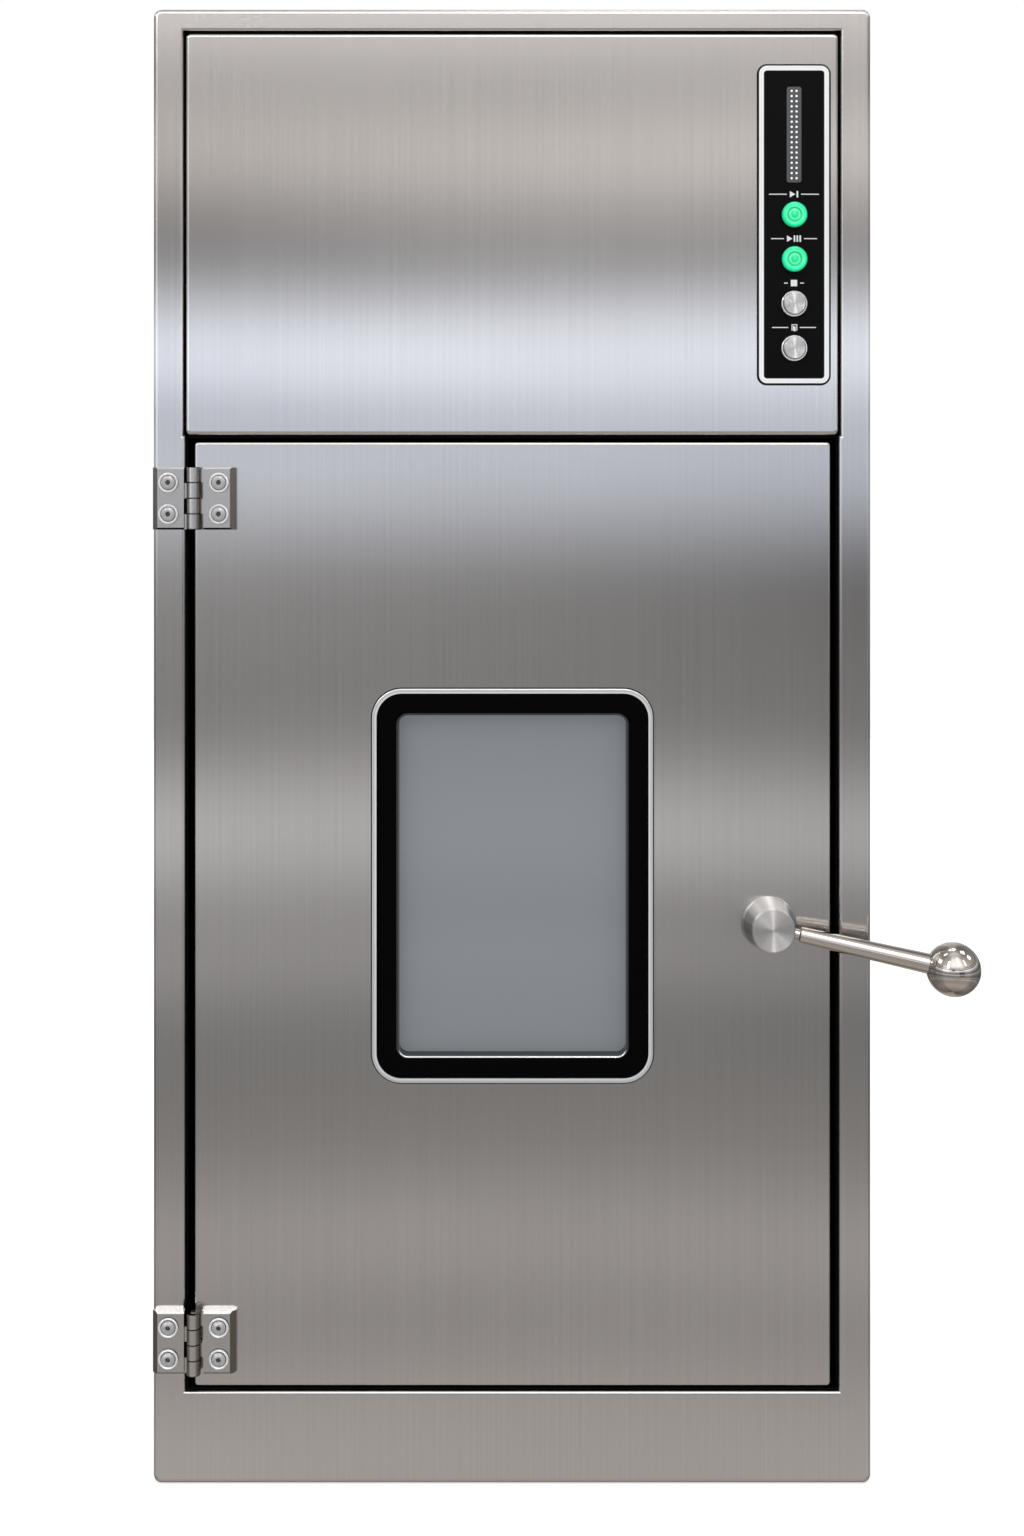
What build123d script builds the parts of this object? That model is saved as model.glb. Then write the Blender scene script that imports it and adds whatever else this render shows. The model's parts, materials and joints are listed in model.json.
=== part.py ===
"""Cleanroom pass box: a stainless cabinet let into a wall, with an interlocked door on each side.

Frame: +X right, +Z up, -Y towards the loading side (the front). The origin is the middle of the
footprint. The rear side is the front side turned half a turn about Z, without the control strip.
All sizes are in millimetres.
"""

import math
import os

from build123d import *

# ------------------------------------------------------------------ cabinet
cabinet_width = 720.0
cabinet_depth = 680.0
sheet = 2.0  # stainless sheet of the casing, chamber and doors
corner_radius = 8.0  # cabinet corners, seen from the front
frame_edge_radius = 5.0  # rounded outer front edge of the face frame
frame_return = 40.0  # how far the face frame is folded back along the casing
casing_flange = 30.0  # flat part of the roof and base flanges below their bends

# ------------------------------------------------------------------ face frame openings
door_stile = 32.0  # face frame beside the door
panel_stile = 30.0  # face frame beside the service panel
sill_height = 93.0
top_rail = 22.0
lip_radius = 3.0  # rounded inner front edge of the face frame
landing_overlap_side = 27.0  # landing flange beside the service opening

# ------------------------------------------------------------------ door
door_height = 947.0
door_thickness = 36.0
door_gap_hinge = 9.5
door_gap_latch = 8.5
door_gap_sill = 5.5
door_gap_top = 6.5
door_edge_radius = 3.0
door_corner_radius = 4.0
door_flange = 12.0  # inward flange that carries the inner pan
inner_pan_inset = 1.0  # inner pan, inside the edge of the door
door_open_deg = 120.0

# ------------------------------------------------------------------ seals
seal_depth = 8.0  # from the landing to the back of the closed door
seal_base = 4.0
seal_lip = 2.0
seal_lip_setback = 4.0  # lip front, behind the face of the frame
seal_bead_width = 8.0
fit_gap = 0.3  # beside seals and other soft parts
snug_gap = 0.1  # around pieces set into a cut-out
panel_seal = 3.0
panel_seal_lip = 1.0
trim_gasket = 0.6  # thin gasket under the window rim and the control strip
trim_gasket_edge = 1.0  # how far it shows around them

# ------------------------------------------------------------------ service panel
panel_height = 403.5
panel_seam = 2.5
panel_edge_radius = 4.0
panel_corner_radius = 5.0

# ------------------------------------------------------------------ chamber
door_side_cover = 19.0  # door beyond the chamber's side walls
door_end_cover = 23.5  # door beyond the chamber's floor and ceiling
cove_radius = 20.0

# ------------------------------------------------------------------ door window
window_width = 282.0  # over the bright outer rim
window_height = 395.0
window_corner = 30.0
window_centre_below_top = 445.0
rim_width = 4.75
rim_proud = 2.5
inlay_width = 20.0
inlay_depth = 6.0
inlay_setback = 1.2  # inlay face behind the rim face
sleeve_wall = 2.0
mouth_round = 0.9  # rounding of the sleeve's front edge, as a share of its wall
pane_thickness = 6.0
pane_recess = 18.0  # outer pane behind the rim face
pane_margin = 12.0  # pane hidden behind the sleeve's back flange
glass_corner = 9.5
channel_wall = 1.0  # between the rim's inside and the door's cut-out

# ------------------------------------------------------------------ hinges
leaf_width = 32.0
leaf_height = 62.0
leaf_thickness = 8.0
leaf_outer_bevel = 5.5
leaf_end_bevel = 1.8
leaf_edge_inset = 0.5  # frame leaf, inside the cabinet's edge
barrel_gap = 19.5  # between the two leaves
barrel_radius = 7.0
barrel_clearance = 0.3
knuckle_count = 4
knuckle_gap = 0.3
pin_radius = 3.5
running_fit = 0.05
web_thickness = 5.0
hinge_top_inset = 57.0  # hinge centre below the top of the door
hinge_bottom_inset = 47.0
screw_pitch = 31.5
screw_offset = 16.5  # from the leaf's outer edge
screw_radius = 4.0
screw_clearance = 0.3
screw_length = 18.0
cup_radius = 10.2
cup_height = 2.4
screw_head_radius = 6.8
screw_head_height = 3.6
screw_head_round = 2.6
cup_groove = 1.3  # depth of the groove between the head and the cup's crest
hex_key = 5.0
hex_depth = 2.4
pad_thickness = 6.0  # tapped pads welded inside the frame and the door
pad_clearance = 1.0  # beside the frame's pads
web_overlap = 1.0  # of a knuckle's web with its leaf and barrel

# ------------------------------------------------------------------ lever handle and latch
handle_from_latch_edge = 62.0
handle_above_door_bottom = 463.5
escutcheon_radius = 27.6
escutcheon_thickness = 3.0
hub_base_radius = 26.0
hub_face_radius = 21.8
hub_height = 27.0
hub_chamfer = 1.0
hub_foot = 2.0  # straight part of the hub next to the escutcheon
escutcheon_chamfer = 1.2
hub_gap = 0.4  # between the turning hub and the escutcheon
lever_height = 15.0  # lever axis above the hub's back face, at the hub's axis
lever_tilt_deg = 9.0  # away from the door
lever_drop_deg = 11.0  # below level, as the released lever stands
lever_turn_deg = 78.0  # from released to latched
lever_reach = 176.0  # hub axis to ball centre, seen from the front
lever_root_radius = 8.0
lever_tip_radius = 9.8
lever_spigot_radius = 5.0
lever_root_chamfer = 1.5
lever_neck = 1.5  # bare spigot between the hub and the arm
lever_in_ball = 6.5
ball_radius = 26.2
spindle_radius = 8.0
bush_wall = 4.0
spindle_step = 2.0  # shoulder that the cam seats against
spindle_nut_radius = 11.0
spindle_nut = 6.0
spindle_nut_chamfer = 2.0
spindle_cover = 2.0  # hub metal between the spindle and the lever's spigot
cam_boss_radius = 14.0
cam_tip_radius = 8.0
cam_wall_gap = 3.5  # between the latched cam and the chamber wall
cam_thickness = 6.0
cam_clearance = 0.5
keeper_reach = 19.0
keeper_height = 34.0
keeper_thickness = 12.0
keeper_setback = 4.0  # keeper behind the landing sheet

# ------------------------------------------------------------------ door interlock
magnet_length = 90.0
magnet_height = 22.0
magnet_depth = 26.0
magnet_face_gap = 0.6
magnet_from_middle = 130.0
armature_thickness = 5.0

# ------------------------------------------------------------------ control strip
strip_width = 72.0
strip_height = 320.0
strip_corner = 9.0
strip_rim = 5.0
strip_collar = 1.0
strip_proud = 2.0
strip_from_panel_side = 9.0
strip_from_panel_top = 32.5
fascia_thickness = 3.0
fascia_setback = 0.6
fascia_step = 3.0  # ledge of the bezel that carries the fascia
led_width = 15.0
led_height = 96.0
led_corner = 2.5
led_proud = 0.8
led_clearance = 0.1
led_from_strip_top = 70.0
button_pitch = 44.5
first_button_from_top = 150.5
cap_radius = 12.6
cap_thickness = 4.0
cap_travel = 1.5
cap_float = 0.5  # left under a cap that is pressed in
cap_edge_chamfer = 0.7
stem_radius = 7.0
metal_cap_radius = 11.0
metal_rim_radius = 12.8
metal_rim_proud = 3.5
metal_rim_chamfer = 0.5
switch_radius = 10.5
switch_length = 34.0

# ------------------------------------------------------------------ air handling
filter_width = 540.0
filter_length = 520.0
filter_height = 70.0
filter_wall = 15.0
pleat_pitch = 34.0
pleat_thickness = 6.0
pleat_clearance = 8.0  # above and below the pleats
vent_rim = 30.0  # of the chamber's ceiling, under the edge of the diffuser
slot_margin = 35.0  # unslotted edge of the diffuser
slot_length = 36.0
slot_width = 8.0
slot_columns = 10
slot_rows = 20
grille_length = 420.0
grille_height = 110.0
grille_rim = 14.0
grille_overlap = 7.0  # unslotted edge inside the rim
grille_above_floor = 60.0
grille_slots = 24
inlet_radius = 78.0
inlet_depth = 56.0
inlet_flare = 20.0
neck_overlap = 7.0  # of the bell-mouth with the neck of the wheel
throat_clearance = 3.0  # between the wheel's neck and the bell-mouth
bracket_lift = 8.0
bracket_width = 110.0
bracket_height = 16.0
stator_radius = 46.0
stator_height = 20.0
stator_edge_radius = 3.0
motor_shaft_radius = 8.0
shaft_end_gap = 1.0
rotor_gap = 1.0  # between the stator and the rotor
rotor_radius = 50.0
rotor_height = 52.0
rotor_edge_radius = 6.0
rotor_crown = 5.0  # top of the rotor cup above its bore
rotor_lift = 10.0  # back plate above the foot of the rotor
impeller_radius = 150.0
impeller_height = 96.0  # foot of the back plate to the top of the neck
impeller_plate = 2.0
blade_count = 7
blade_height = 62.0
blade_thickness = 3.0
blade_sweep_deg = 48.0
blade_curve = 0.95  # bend radius of a blade, as a share of its chord
blade_foot_gap = 8.0  # between the rotor and the blades' inner edges
shroud_rise = 12.0  # conical part of the shroud
shroud_shoulder = 12.0
control_box_width = 150.0
control_box_length = 260.0
control_box_height = 120.0
control_box_corner = 4.0
control_box_from_side = 12.0
control_box_lid = 6.0
lid_overhang = 2.0

# ------------------------------------------------------------------ cable gland on the roof
gland_bore = 4.5
gland_stem_radius = 9.5
gland_stem_clearance = 0.2
gland_stem_length = 12.0  # below the roof's upper face
gland_nut_across_flats = 27.0
gland_nut_thickness = 5.0
gland_body_across_flats = 24.0
gland_body_height = 8.0
gland_cap_radius = 11.0
gland_cap_height = 13.0
gland_cap_round = 5.0

# ------------------------------------------------------------------ places that follow from the sizes
front_y = -cabinet_depth / 2
landing_depth = door_thickness + seal_depth
landing_y = front_y + landing_depth
door_back_y = front_y + door_thickness
door_left = -cabinet_width / 2 + door_stile + door_gap_hinge
door_right = cabinet_width / 2 - door_stile - door_gap_latch
door_width = door_right - door_left
door_mid_x = (door_left + door_right) / 2
door_bottom = sill_height + door_gap_sill
door_top = door_bottom + door_height
door_mid_z = (door_bottom + door_top) / 2
panel_bottom = door_top + door_gap_top
panel_top = panel_bottom + panel_height
opening_top = panel_top + panel_seam
cabinet_height = opening_top + top_rail
panel_width = cabinet_width - 2 * (panel_stile + panel_seam)
panel_mid_z = (panel_top + panel_bottom) / 2
chamber_width = door_width - 2 * door_side_cover
chamber_height = door_height - 2 * door_end_cover
chamber_floor = door_mid_z - chamber_height / 2
chamber_ceiling = chamber_floor + chamber_height
window_z = door_top - window_centre_below_top
hinge_axis_x = -cabinet_width / 2 + leaf_edge_inset + leaf_width + barrel_gap / 2
hinge_axis_y = front_y - barrel_radius - barrel_clearance
hinge_heights = [door_bottom + hinge_bottom_inset, door_top - hinge_top_inset]
frame_leaf_mid = hinge_axis_x - barrel_gap / 2 - leaf_width / 2
door_leaf_mid = hinge_axis_x + barrel_gap / 2 + leaf_width / 2
handle_x = door_right - handle_from_latch_edge
handle_z = door_bottom + handle_above_door_bottom
hub_back_y = front_y - escutcheon_thickness - hub_gap
cam_reach = chamber_width / 2 - handle_x - cam_tip_radius - cam_wall_gap
cam_front_y = landing_y + sheet + keeper_setback + keeper_thickness + cam_clearance
strip_x = panel_width / 2 - strip_from_panel_side - strip_width / 2
strip_top = panel_top - strip_from_panel_top
strip_z = strip_top - strip_height / 2
fascia_front_y = front_y - strip_proud + fascia_setback
fascia_back_y = fascia_front_y + fascia_thickness
cap_proud = cap_thickness + cap_travel + cap_float
button_heights = [strip_top - first_button_from_top - i * button_pitch for i in range(4)]
filter_z = chamber_ceiling + 2 * sheet
hood_z = filter_z + filter_height
bracket_z = hood_z + bracket_lift
motor_z = bracket_z + bracket_height
rotor_z = motor_z + stator_height + rotor_gap
impeller_plate_z = rotor_z + rotor_lift
hood_top = impeller_plate_z + impeller_height - neck_overlap + inlet_depth
control_box_x = -filter_width / 2 + control_box_from_side + control_box_width / 2


# ------------------------------------------------------------------ helpers
def plate(y, sketch, thickness):
    """A plate whose outline is drawn in X and Z, from depth y towards +Y."""
    return extrude(Plane.XZ.offset(-y) * sketch, -thickness)


def level(z, sketch, height):
    """A body whose outline is drawn in X and Y, from height z upwards."""
    return extrude(Pos(0, 0, z) * sketch, height)


def turned(x, z, profile):
    """A body of revolution about a line along Y. The profile lists (radius, y) corners."""
    outline = make_face(Polyline([(r, y) for r, y in profile], close=True))
    return Pos(x, 0, z) * revolve(outline, Axis.Y)


def round_edges(body, y, radius):
    """Rounds every edge of body that lies wholly at depth y."""
    edges = body.edges().filter_by_position(Axis.Y, y - 0.01, y + 0.01)
    return fillet(edges, radius)


def to_rear(body):
    return Rot(0, 0, 180) * body


def rounded(width, height, radius, x=0.0, z=0.0):
    return Pos(x, z) * RectangleRounded(width, height, radius)


def rectangle(width, height, x=0.0, z=0.0):
    return Pos(x, z) * Rectangle(width, height)


# ------------------------------------------------------------------ casing
def casing_ring():
    """Cross-section of the casing skins, seen from the front."""
    outer = rounded(cabinet_width, cabinet_height, corner_radius, z=cabinet_height / 2)
    inner = rounded(
        cabinet_width - 2 * sheet,
        cabinet_height - 2 * sheet,
        corner_radius - sheet,
        z=cabinet_height / 2,
    )
    return outer - inner


def casing_part(low, high, x=0.0, width=cabinet_width):
    """The stretch of the casing between two heights, from one face frame to the other."""
    window = rectangle(width, high - low, x, (low + high) / 2)
    y = front_y + frame_return
    return plate(y, casing_ring() & window, cabinet_depth - 2 * frame_return)


def casing():
    flange = corner_radius + casing_flange
    side_low, side_high = flange, cabinet_height - flange
    parts = {
        "base_pan": casing_part(0, side_low),
        "roof_skin": casing_part(side_high, cabinet_height) - gland_hole(),
    }
    for name, side in (("left_side_skin", -1), ("right_side_skin", 1)):
        x = side * cabinet_width / 2
        parts[name] = casing_part(side_low, side_high, x, cabinet_width / 2)
    return parts


def face_opening():
    """Outline of the opening in the face frame: the door below, the service panel above."""
    door_part = rectangle(
        cabinet_width - 2 * door_stile,
        panel_bottom - sill_height,
        z=(panel_bottom + sill_height) / 2,
    )
    panel_part = rectangle(
        cabinet_width - 2 * panel_stile,
        opening_top - panel_bottom,
        z=(opening_top + panel_bottom) / 2,
    )
    return door_part + panel_part


def chamber_outline(grow=0.0):
    return rounded(
        chamber_width + 2 * grow,
        chamber_height + 2 * grow,
        cove_radius + grow,
        z=chamber_floor + chamber_height / 2,
    )


def service_outline():
    rim = landing_overlap_side
    return rounded(
        panel_width - 2 * rim, panel_height - 2 * rim, cove_radius, z=panel_mid_z
    )


def screw_places(x, z):
    return [(x, z + side * screw_pitch / 2) for side in (-1, 1)]


def screw_holes(x, y, depth):
    """Cutters for the two screws of each hinge leaf, in both hinges of one side."""
    radius = screw_radius + screw_clearance
    holes = Part()
    for z in hinge_heights:
        for sx, sz in screw_places(x, z):
            holes += plate(y, Pos(sx, sz) * Circle(radius), depth)
    return holes


def hinge_pads(x, y, width):
    """Tapped pads welded behind the sheet at each hinge."""
    pads = Part()
    for z in hinge_heights:
        pads += plate(y, rectangle(width, leaf_height, x, z), pad_thickness)
    return pads


def frame_leaf_screw_x():
    return frame_leaf_mid - leaf_width / 2 + screw_offset


def door_leaf_screw_x():
    return door_leaf_mid + leaf_width / 2 - screw_offset


def face_frame():
    """Folded face frame with its returns and the landing that the door and panel close on."""
    outline = rounded(cabinet_width, cabinet_height, corner_radius, z=cabinet_height / 2)
    shell = round_edges(plate(front_y, outline, frame_return), front_y, frame_edge_radius)
    inside = rounded(
        cabinet_width - 2 * sheet,
        cabinet_height - 2 * sheet,
        corner_radius - sheet,
        z=cabinet_height / 2,
    )
    cavity_y = front_y + sheet
    cavity = round_edges(
        plate(cavity_y, inside, frame_return), cavity_y, frame_edge_radius - sheet
    )
    opening = face_opening()
    around = offset(opening, sheet, kind=Kind.INTERSECTION)
    frame = shell - cavity + plate(front_y, around, landing_depth + sheet)
    pad_width = door_stile - 2 * (sheet + pad_clearance)
    pad_x = -cabinet_width / 2 + door_stile / 2
    frame += hinge_pads(pad_x, front_y + sheet, pad_width)
    frame -= plate(front_y, opening, landing_depth)
    frame -= plate(landing_y, chamber_outline() + service_outline(), sheet)
    inner_edges = [
        e
        for e in frame.edges().filter_by_position(Axis.Y, front_y - 0.01, front_y + 0.01)
        if abs(e.center().X) < cabinet_width / 2 - door_stile / 2
        and sill_height / 2 < e.center().Z < cabinet_height - top_rail / 2
    ]
    frame = fillet(inner_edges, lip_radius)
    return frame - screw_holes(frame_leaf_screw_x(), front_y, sheet + pad_thickness)


# ------------------------------------------------------------------ chamber
def chamber_liner():
    """Coved chamber tube between the two landings, open to the diffuser and the grilles."""
    length = cabinet_depth - 2 * (landing_depth + sheet)
    y = landing_y + sheet
    tube = plate(y, chamber_outline(sheet) - chamber_outline(), length)
    vent = Rectangle(filter_width - 2 * vent_rim, filter_length - 2 * vent_rim)
    tube -= level(chamber_ceiling, vent, sheet)
    grille_z = chamber_floor + grille_above_floor + grille_height / 2
    hole = Box(
        chamber_width + 4 * sheet,
        grille_length - 2 * grille_rim,
        grille_height - 2 * grille_rim,
    )
    return tube - Pos(0, 0, grille_z) * hole


def diffuser_plate():
    """Slotted ceiling plate that spreads the filtered air."""
    free_width = filter_width - 2 * slot_margin
    free_length = filter_length - 2 * slot_margin
    slots = Sketch() + [
        place * Rectangle(slot_length, slot_width)
        for place in GridLocations(
            free_width / slot_columns, free_length / slot_rows, slot_columns, slot_rows
        )
    ]
    return level(chamber_ceiling + sheet, Rectangle(filter_width, filter_length) - slots, sheet)


def return_grilles():
    """Slotted plates over the return air openings, low in both side walls."""
    z = chamber_floor + grille_above_floor + grille_height / 2
    rim = grille_rim + grille_overlap
    pitch = (grille_length - 2 * rim) / grille_slots
    slots = Sketch() + [
        place * Rectangle(pitch / 2, grille_height - 2 * rim)
        for place in GridLocations(pitch, 1, grille_slots, 1)
    ]
    outline = RectangleRounded(grille_length, grille_height, grille_rim / 2)
    grille = extrude(Plane.YZ * (outline - slots), sheet)
    return [
        Pos(chamber_width / 2 - sheet, 0, z) * grille,
        Pos(-chamber_width / 2, 0, z) * grille,
    ]


# ------------------------------------------------------------------ seals and service panels
def door_seal():
    """L-shaped rubber seal: a base with a round bead on the landing, and a lip up the frame."""
    low, high = sill_height + fit_gap, panel_bottom - fit_gap
    width = cabinet_width - 2 * door_stile - 2 * fit_gap
    middle = (low + high) / 2
    outer = rectangle(width, high - low, z=middle)
    base_y = landing_y - seal_base
    seal = plate(base_y, outer - chamber_outline(sheet), seal_base)
    lip_hole = rectangle(width - 2 * seal_lip, high - low - 2 * seal_lip, z=middle)
    lip_y = front_y + seal_lip_setback
    seal += plate(lip_y, outer - lip_hole, landing_y - lip_y)
    bead_mid_width = chamber_width + door_side_cover
    bead_mid_height = chamber_height + door_side_cover
    bead_y = door_back_y + fit_gap
    mid_z = chamber_floor + chamber_height / 2
    outside, inside = [
        rounded(
            bead_mid_width + side * seal_bead_width,
            bead_mid_height + side * seal_bead_width,
            cove_radius + side * seal_bead_width / 2,
            z=mid_z,
        )
        for side in (1, -1)
    ]
    bead = plate(bead_y, outside - inside, base_y - bead_y)
    nearly = 0.9  # leaves a narrow flat on the crown and the sides
    bead = round_edges(bead, bead_y, nearly * min(base_y - bead_y, seal_bead_width / 2))
    return seal + bead


def panel_gasket():
    """Foam gasket behind the service panel, with a thin lip in the seam."""
    low, high = panel_bottom, opening_top - fit_gap
    width = cabinet_width - 2 * panel_stile - 2 * fit_gap
    middle = (low + high) / 2
    outer = rectangle(width, high - low, z=middle)
    base_y = landing_y - panel_seal
    gasket = plate(base_y, outer - service_outline(), panel_seal)
    lip_y = front_y + seal_lip_setback
    lip_hole = rectangle(
        width - 2 * panel_seal_lip, high - low - panel_seal_lip, z=middle - panel_seal_lip / 2
    )
    return gasket + plate(lip_y, outer - lip_hole, landing_y - lip_y)


def service_panel():
    """Folded cover pan of the upper compartment, without any cut-out."""
    depth = landing_depth - panel_seal
    outline = rounded(panel_width, panel_height, panel_corner_radius, z=panel_mid_z)
    pan = round_edges(plate(front_y, outline, depth), front_y, panel_edge_radius)
    inside = rounded(
        panel_width - 2 * sheet,
        panel_height - 2 * sheet,
        panel_corner_radius - sheet,
        z=panel_mid_z,
    )
    cavity_y = front_y + sheet
    cavity = plate(cavity_y, inside, depth)
    return pan - round_edges(cavity, cavity_y, panel_edge_radius - sheet)


def front_service_panel():
    hole = rounded(
        strip_width - 2 * strip_rim,
        strip_height - 2 * strip_rim,
        strip_corner - strip_rim,
        strip_x,
        strip_z,
    )
    return service_panel() - plate(front_y, hole, sheet)


# ------------------------------------------------------------------ control strip
def strip_outline(inset):
    """Rounded outline of the control strip, moved in from its edge."""
    return rounded(
        strip_width - 2 * inset,
        strip_height - 2 * inset,
        max(strip_corner - inset, 1.0),
        strip_x,
        strip_z,
    )


def control_bezel():
    """Bright rim on its gasket, with a collar through the panel and a ledge for the fascia."""
    y = front_y - strip_proud
    seat_y = front_y - trim_gasket
    inner = strip_outline(strip_rim)
    rim = round_edges(plate(y, strip_outline(0), seat_y - y), y, strip_proud / 2)
    ledge_y = fascia_back_y
    collar = plate(seat_y, inner, ledge_y + sheet - seat_y)
    bezel = rim + collar
    bezel -= plate(y, strip_outline(strip_rim + strip_collar), ledge_y - y)
    return bezel - plate(ledge_y, strip_outline(strip_rim + fascia_step), sheet)


def strip_gasket():
    """Thin gasket between the bezel and the panel, which shows as a dark line around the rim."""
    ring = strip_outline(-trim_gasket_edge) - strip_outline(strip_rim - snug_gap)
    return plate(front_y - trim_gasket, ring, trim_gasket)


def control_fascia():
    """Black front plate, with openings for the display and the four push buttons."""
    outline = strip_outline(strip_rim + strip_collar + snug_gap)
    fascia = plate(fascia_front_y, outline, fascia_thickness)
    led = rounded(led_width, led_height, led_corner, strip_x, strip_top - led_from_strip_top)
    fascia -= plate(fascia_front_y, led, fascia_thickness)
    for z in button_heights:
        hole = Pos(strip_x, z) * Circle(stem_radius + fit_gap)
        fascia -= plate(fascia_front_y, hole, fascia_thickness)
    return fascia


def led_bar_lens():
    y = fascia_front_y - led_proud
    z = strip_top - led_from_strip_top
    width, height = led_width - 2 * led_clearance, led_height - 2 * led_clearance
    outline = rounded(width, height, led_corner - led_clearance, strip_x, z)
    lens = plate(y, outline, led_proud + fascia_thickness)
    return round_edges(lens, y, led_proud / 2)


def cycle_button(z):
    """Illuminated cap: a round cushion with two rings and a shallow dome, on a stem."""
    face_y = fascia_front_y - cap_proud
    back_y = face_y + cap_thickness
    # radius of each ring as a share of the cap, and how deep it lies below the face
    rings = [
        (0.00, 0.2),
        (0.36, 0.9),
        (0.46, 1.4),
        (0.56, 0.7),
        (0.64, 0.7),
        (0.72, 1.3),
        (0.82, 0.0),
        (0.94, 0.4),
        (1.00, 1.6),
    ]
    profile = [(cap_radius * share, face_y + depth) for share, depth in rings]
    profile += [
        (cap_radius, back_y),
        (stem_radius, back_y),
        (stem_radius, fascia_back_y),
        (0.0, fascia_back_y),
    ]
    return turned(strip_x, z, profile)


def metal_button(z):
    """Flat turned cap on a stem."""
    face_y = fascia_front_y - cap_proud
    back_y = face_y + cap_thickness
    profile = [
        (0.0, face_y),
        (metal_cap_radius - cap_edge_chamfer, face_y),
        (metal_cap_radius, face_y + cap_edge_chamfer),
        (metal_cap_radius, back_y),
        (stem_radius, back_y),
        (stem_radius, fascia_back_y),
        (0.0, fascia_back_y),
    ]
    return turned(strip_x, z, profile)


def metal_button_rim(z):
    """Bright ring fixed to the fascia around a metal cap."""
    inner = metal_cap_radius + fit_gap
    face_y = fascia_front_y - metal_rim_proud
    profile = [
        (inner, fascia_front_y),
        (inner, face_y + metal_rim_chamfer),
        (inner + metal_rim_chamfer, face_y),
        (metal_rim_radius - metal_rim_chamfer, face_y),
        (metal_rim_radius, face_y + metal_rim_chamfer),
        (metal_rim_radius, fascia_front_y),
    ]
    return turned(strip_x, z, profile)


def switch_body(z):
    """Contact block behind the fascia, with a pocket for the travel of the stem."""
    y = fascia_back_y
    pocket = stem_radius + fit_gap
    depth = cap_travel + cap_float
    profile = [
        (pocket, y),
        (switch_radius, y),
        (switch_radius, y + switch_length),
        (0.0, y + switch_length),
        (0.0, y + depth),
        (pocket, y + depth),
    ]
    return turned(strip_x, z, profile)


# ------------------------------------------------------------------ doors
def door_skin():
    """Outer pan of the door: face, returns and the inward flange at the back."""
    depth = door_thickness - sheet
    outline = rounded(door_width, door_height, door_corner_radius, door_mid_x, door_mid_z)
    skin = round_edges(plate(front_y, outline, depth), front_y, door_edge_radius)
    cavity = rectangle(
        door_width - 2 * sheet, door_height - 2 * sheet, door_mid_x, door_mid_z
    )
    cavity_y = front_y + sheet
    hollow = plate(cavity_y, cavity, depth - 2 * sheet)
    skin -= round_edges(hollow, cavity_y, door_edge_radius - sheet)
    back = rectangle(
        door_width - 2 * (sheet + door_flange),
        door_height - 2 * (sheet + door_flange),
        door_mid_x,
        door_mid_z,
    )
    skin -= plate(front_y + depth - sheet, back, sheet)
    skin += hinge_pads(door_leaf_mid, cavity_y, leaf_width)
    skin -= plate(front_y, window_outline(rim_width - channel_wall), sheet)
    skin -= plate(front_y, bush_hole(), sheet)
    return skin - screw_holes(door_leaf_screw_x(), front_y, sheet + pad_thickness)


def bush_radius():
    return spindle_radius + running_fit + bush_wall


def bush_hole():
    return Pos(handle_x, handle_z) * Circle(bush_radius() + snug_gap)


def window_outline(inset):
    """Rounded outline of the window, moved in from the outside of its bright rim."""
    return rounded(
        window_width - 2 * inset,
        window_height - 2 * inset,
        window_corner - inset,
        door_mid_x,
        window_z,
    )


def glass_outline(grow=0.0):
    """Visible glass, inside the rim, the inlay and the sleeve's lip."""
    border = 2 * (rim_width + inlay_width + sleeve_wall) - 2 * grow
    return rounded(
        window_width - border,
        window_height - border,
        glass_corner + grow,
        door_mid_x,
        window_z,
    )


def outer_pane_y():
    return front_y - rim_proud + pane_recess


def inner_pane_y():
    return door_back_y - sheet - pane_thickness


def window_frame():
    """Pressed frame: bright rim on its gasket, channel for the inlay, sleeve down to the pane."""
    rim_y = front_y - rim_proud
    seat_y = front_y - trim_gasket
    channel_y = rim_y + inlay_setback + inlay_depth
    sleeve_y = rim_y + inlay_setback
    pane_y = outer_pane_y()
    frame = round_edges(plate(rim_y, window_outline(0), seat_y - rim_y), rim_y, rim_proud / 2)
    channel = window_outline(rim_width - channel_wall + snug_gap)
    frame += plate(seat_y, channel, channel_y + sheet - seat_y)
    frame -= plate(rim_y, window_outline(rim_width), channel_y - rim_y)
    frame -= plate(rim_y, glass_outline(), pane_y - rim_y)
    sleeve = plate(sleeve_y, glass_outline(sleeve_wall) - glass_outline(), pane_y - sleeve_y)
    mouth = sleeve.faces().sort_by(Axis.Y)[0].inner_wires()[0]
    frame += fillet(mouth.edges(), sleeve_wall * mouth_round)
    flange = glass_outline(sleeve_wall + pane_margin) - glass_outline()
    return frame + plate(pane_y - sheet, flange, sheet)


def window_gaskets():
    """Black band in the frame's channel, spacer between the panes, thin gasket under the rim."""
    y = front_y - rim_proud + inlay_setback
    band = window_outline(rim_width + snug_gap) - glass_outline(sleeve_wall + snug_gap)
    spacer = glass_outline(sleeve_wall + pane_margin) - glass_outline(sleeve_wall)
    spacer_y = outer_pane_y() + pane_thickness
    ring = window_outline(-trim_gasket_edge) - window_outline(rim_width - channel_wall)
    return [
        plate(y, band, inlay_depth),
        plate(spacer_y, spacer, inner_pane_y() - spacer_y),
        plate(front_y - trim_gasket, ring, trim_gasket),
    ]


def window_panes():
    """Double glazing: one pane behind the sleeve, one against the inner pan."""
    outline = glass_outline(sleeve_wall + pane_margin)
    return [plate(y, outline, pane_thickness) for y in (outer_pane_y(), inner_pane_y())]


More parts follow.
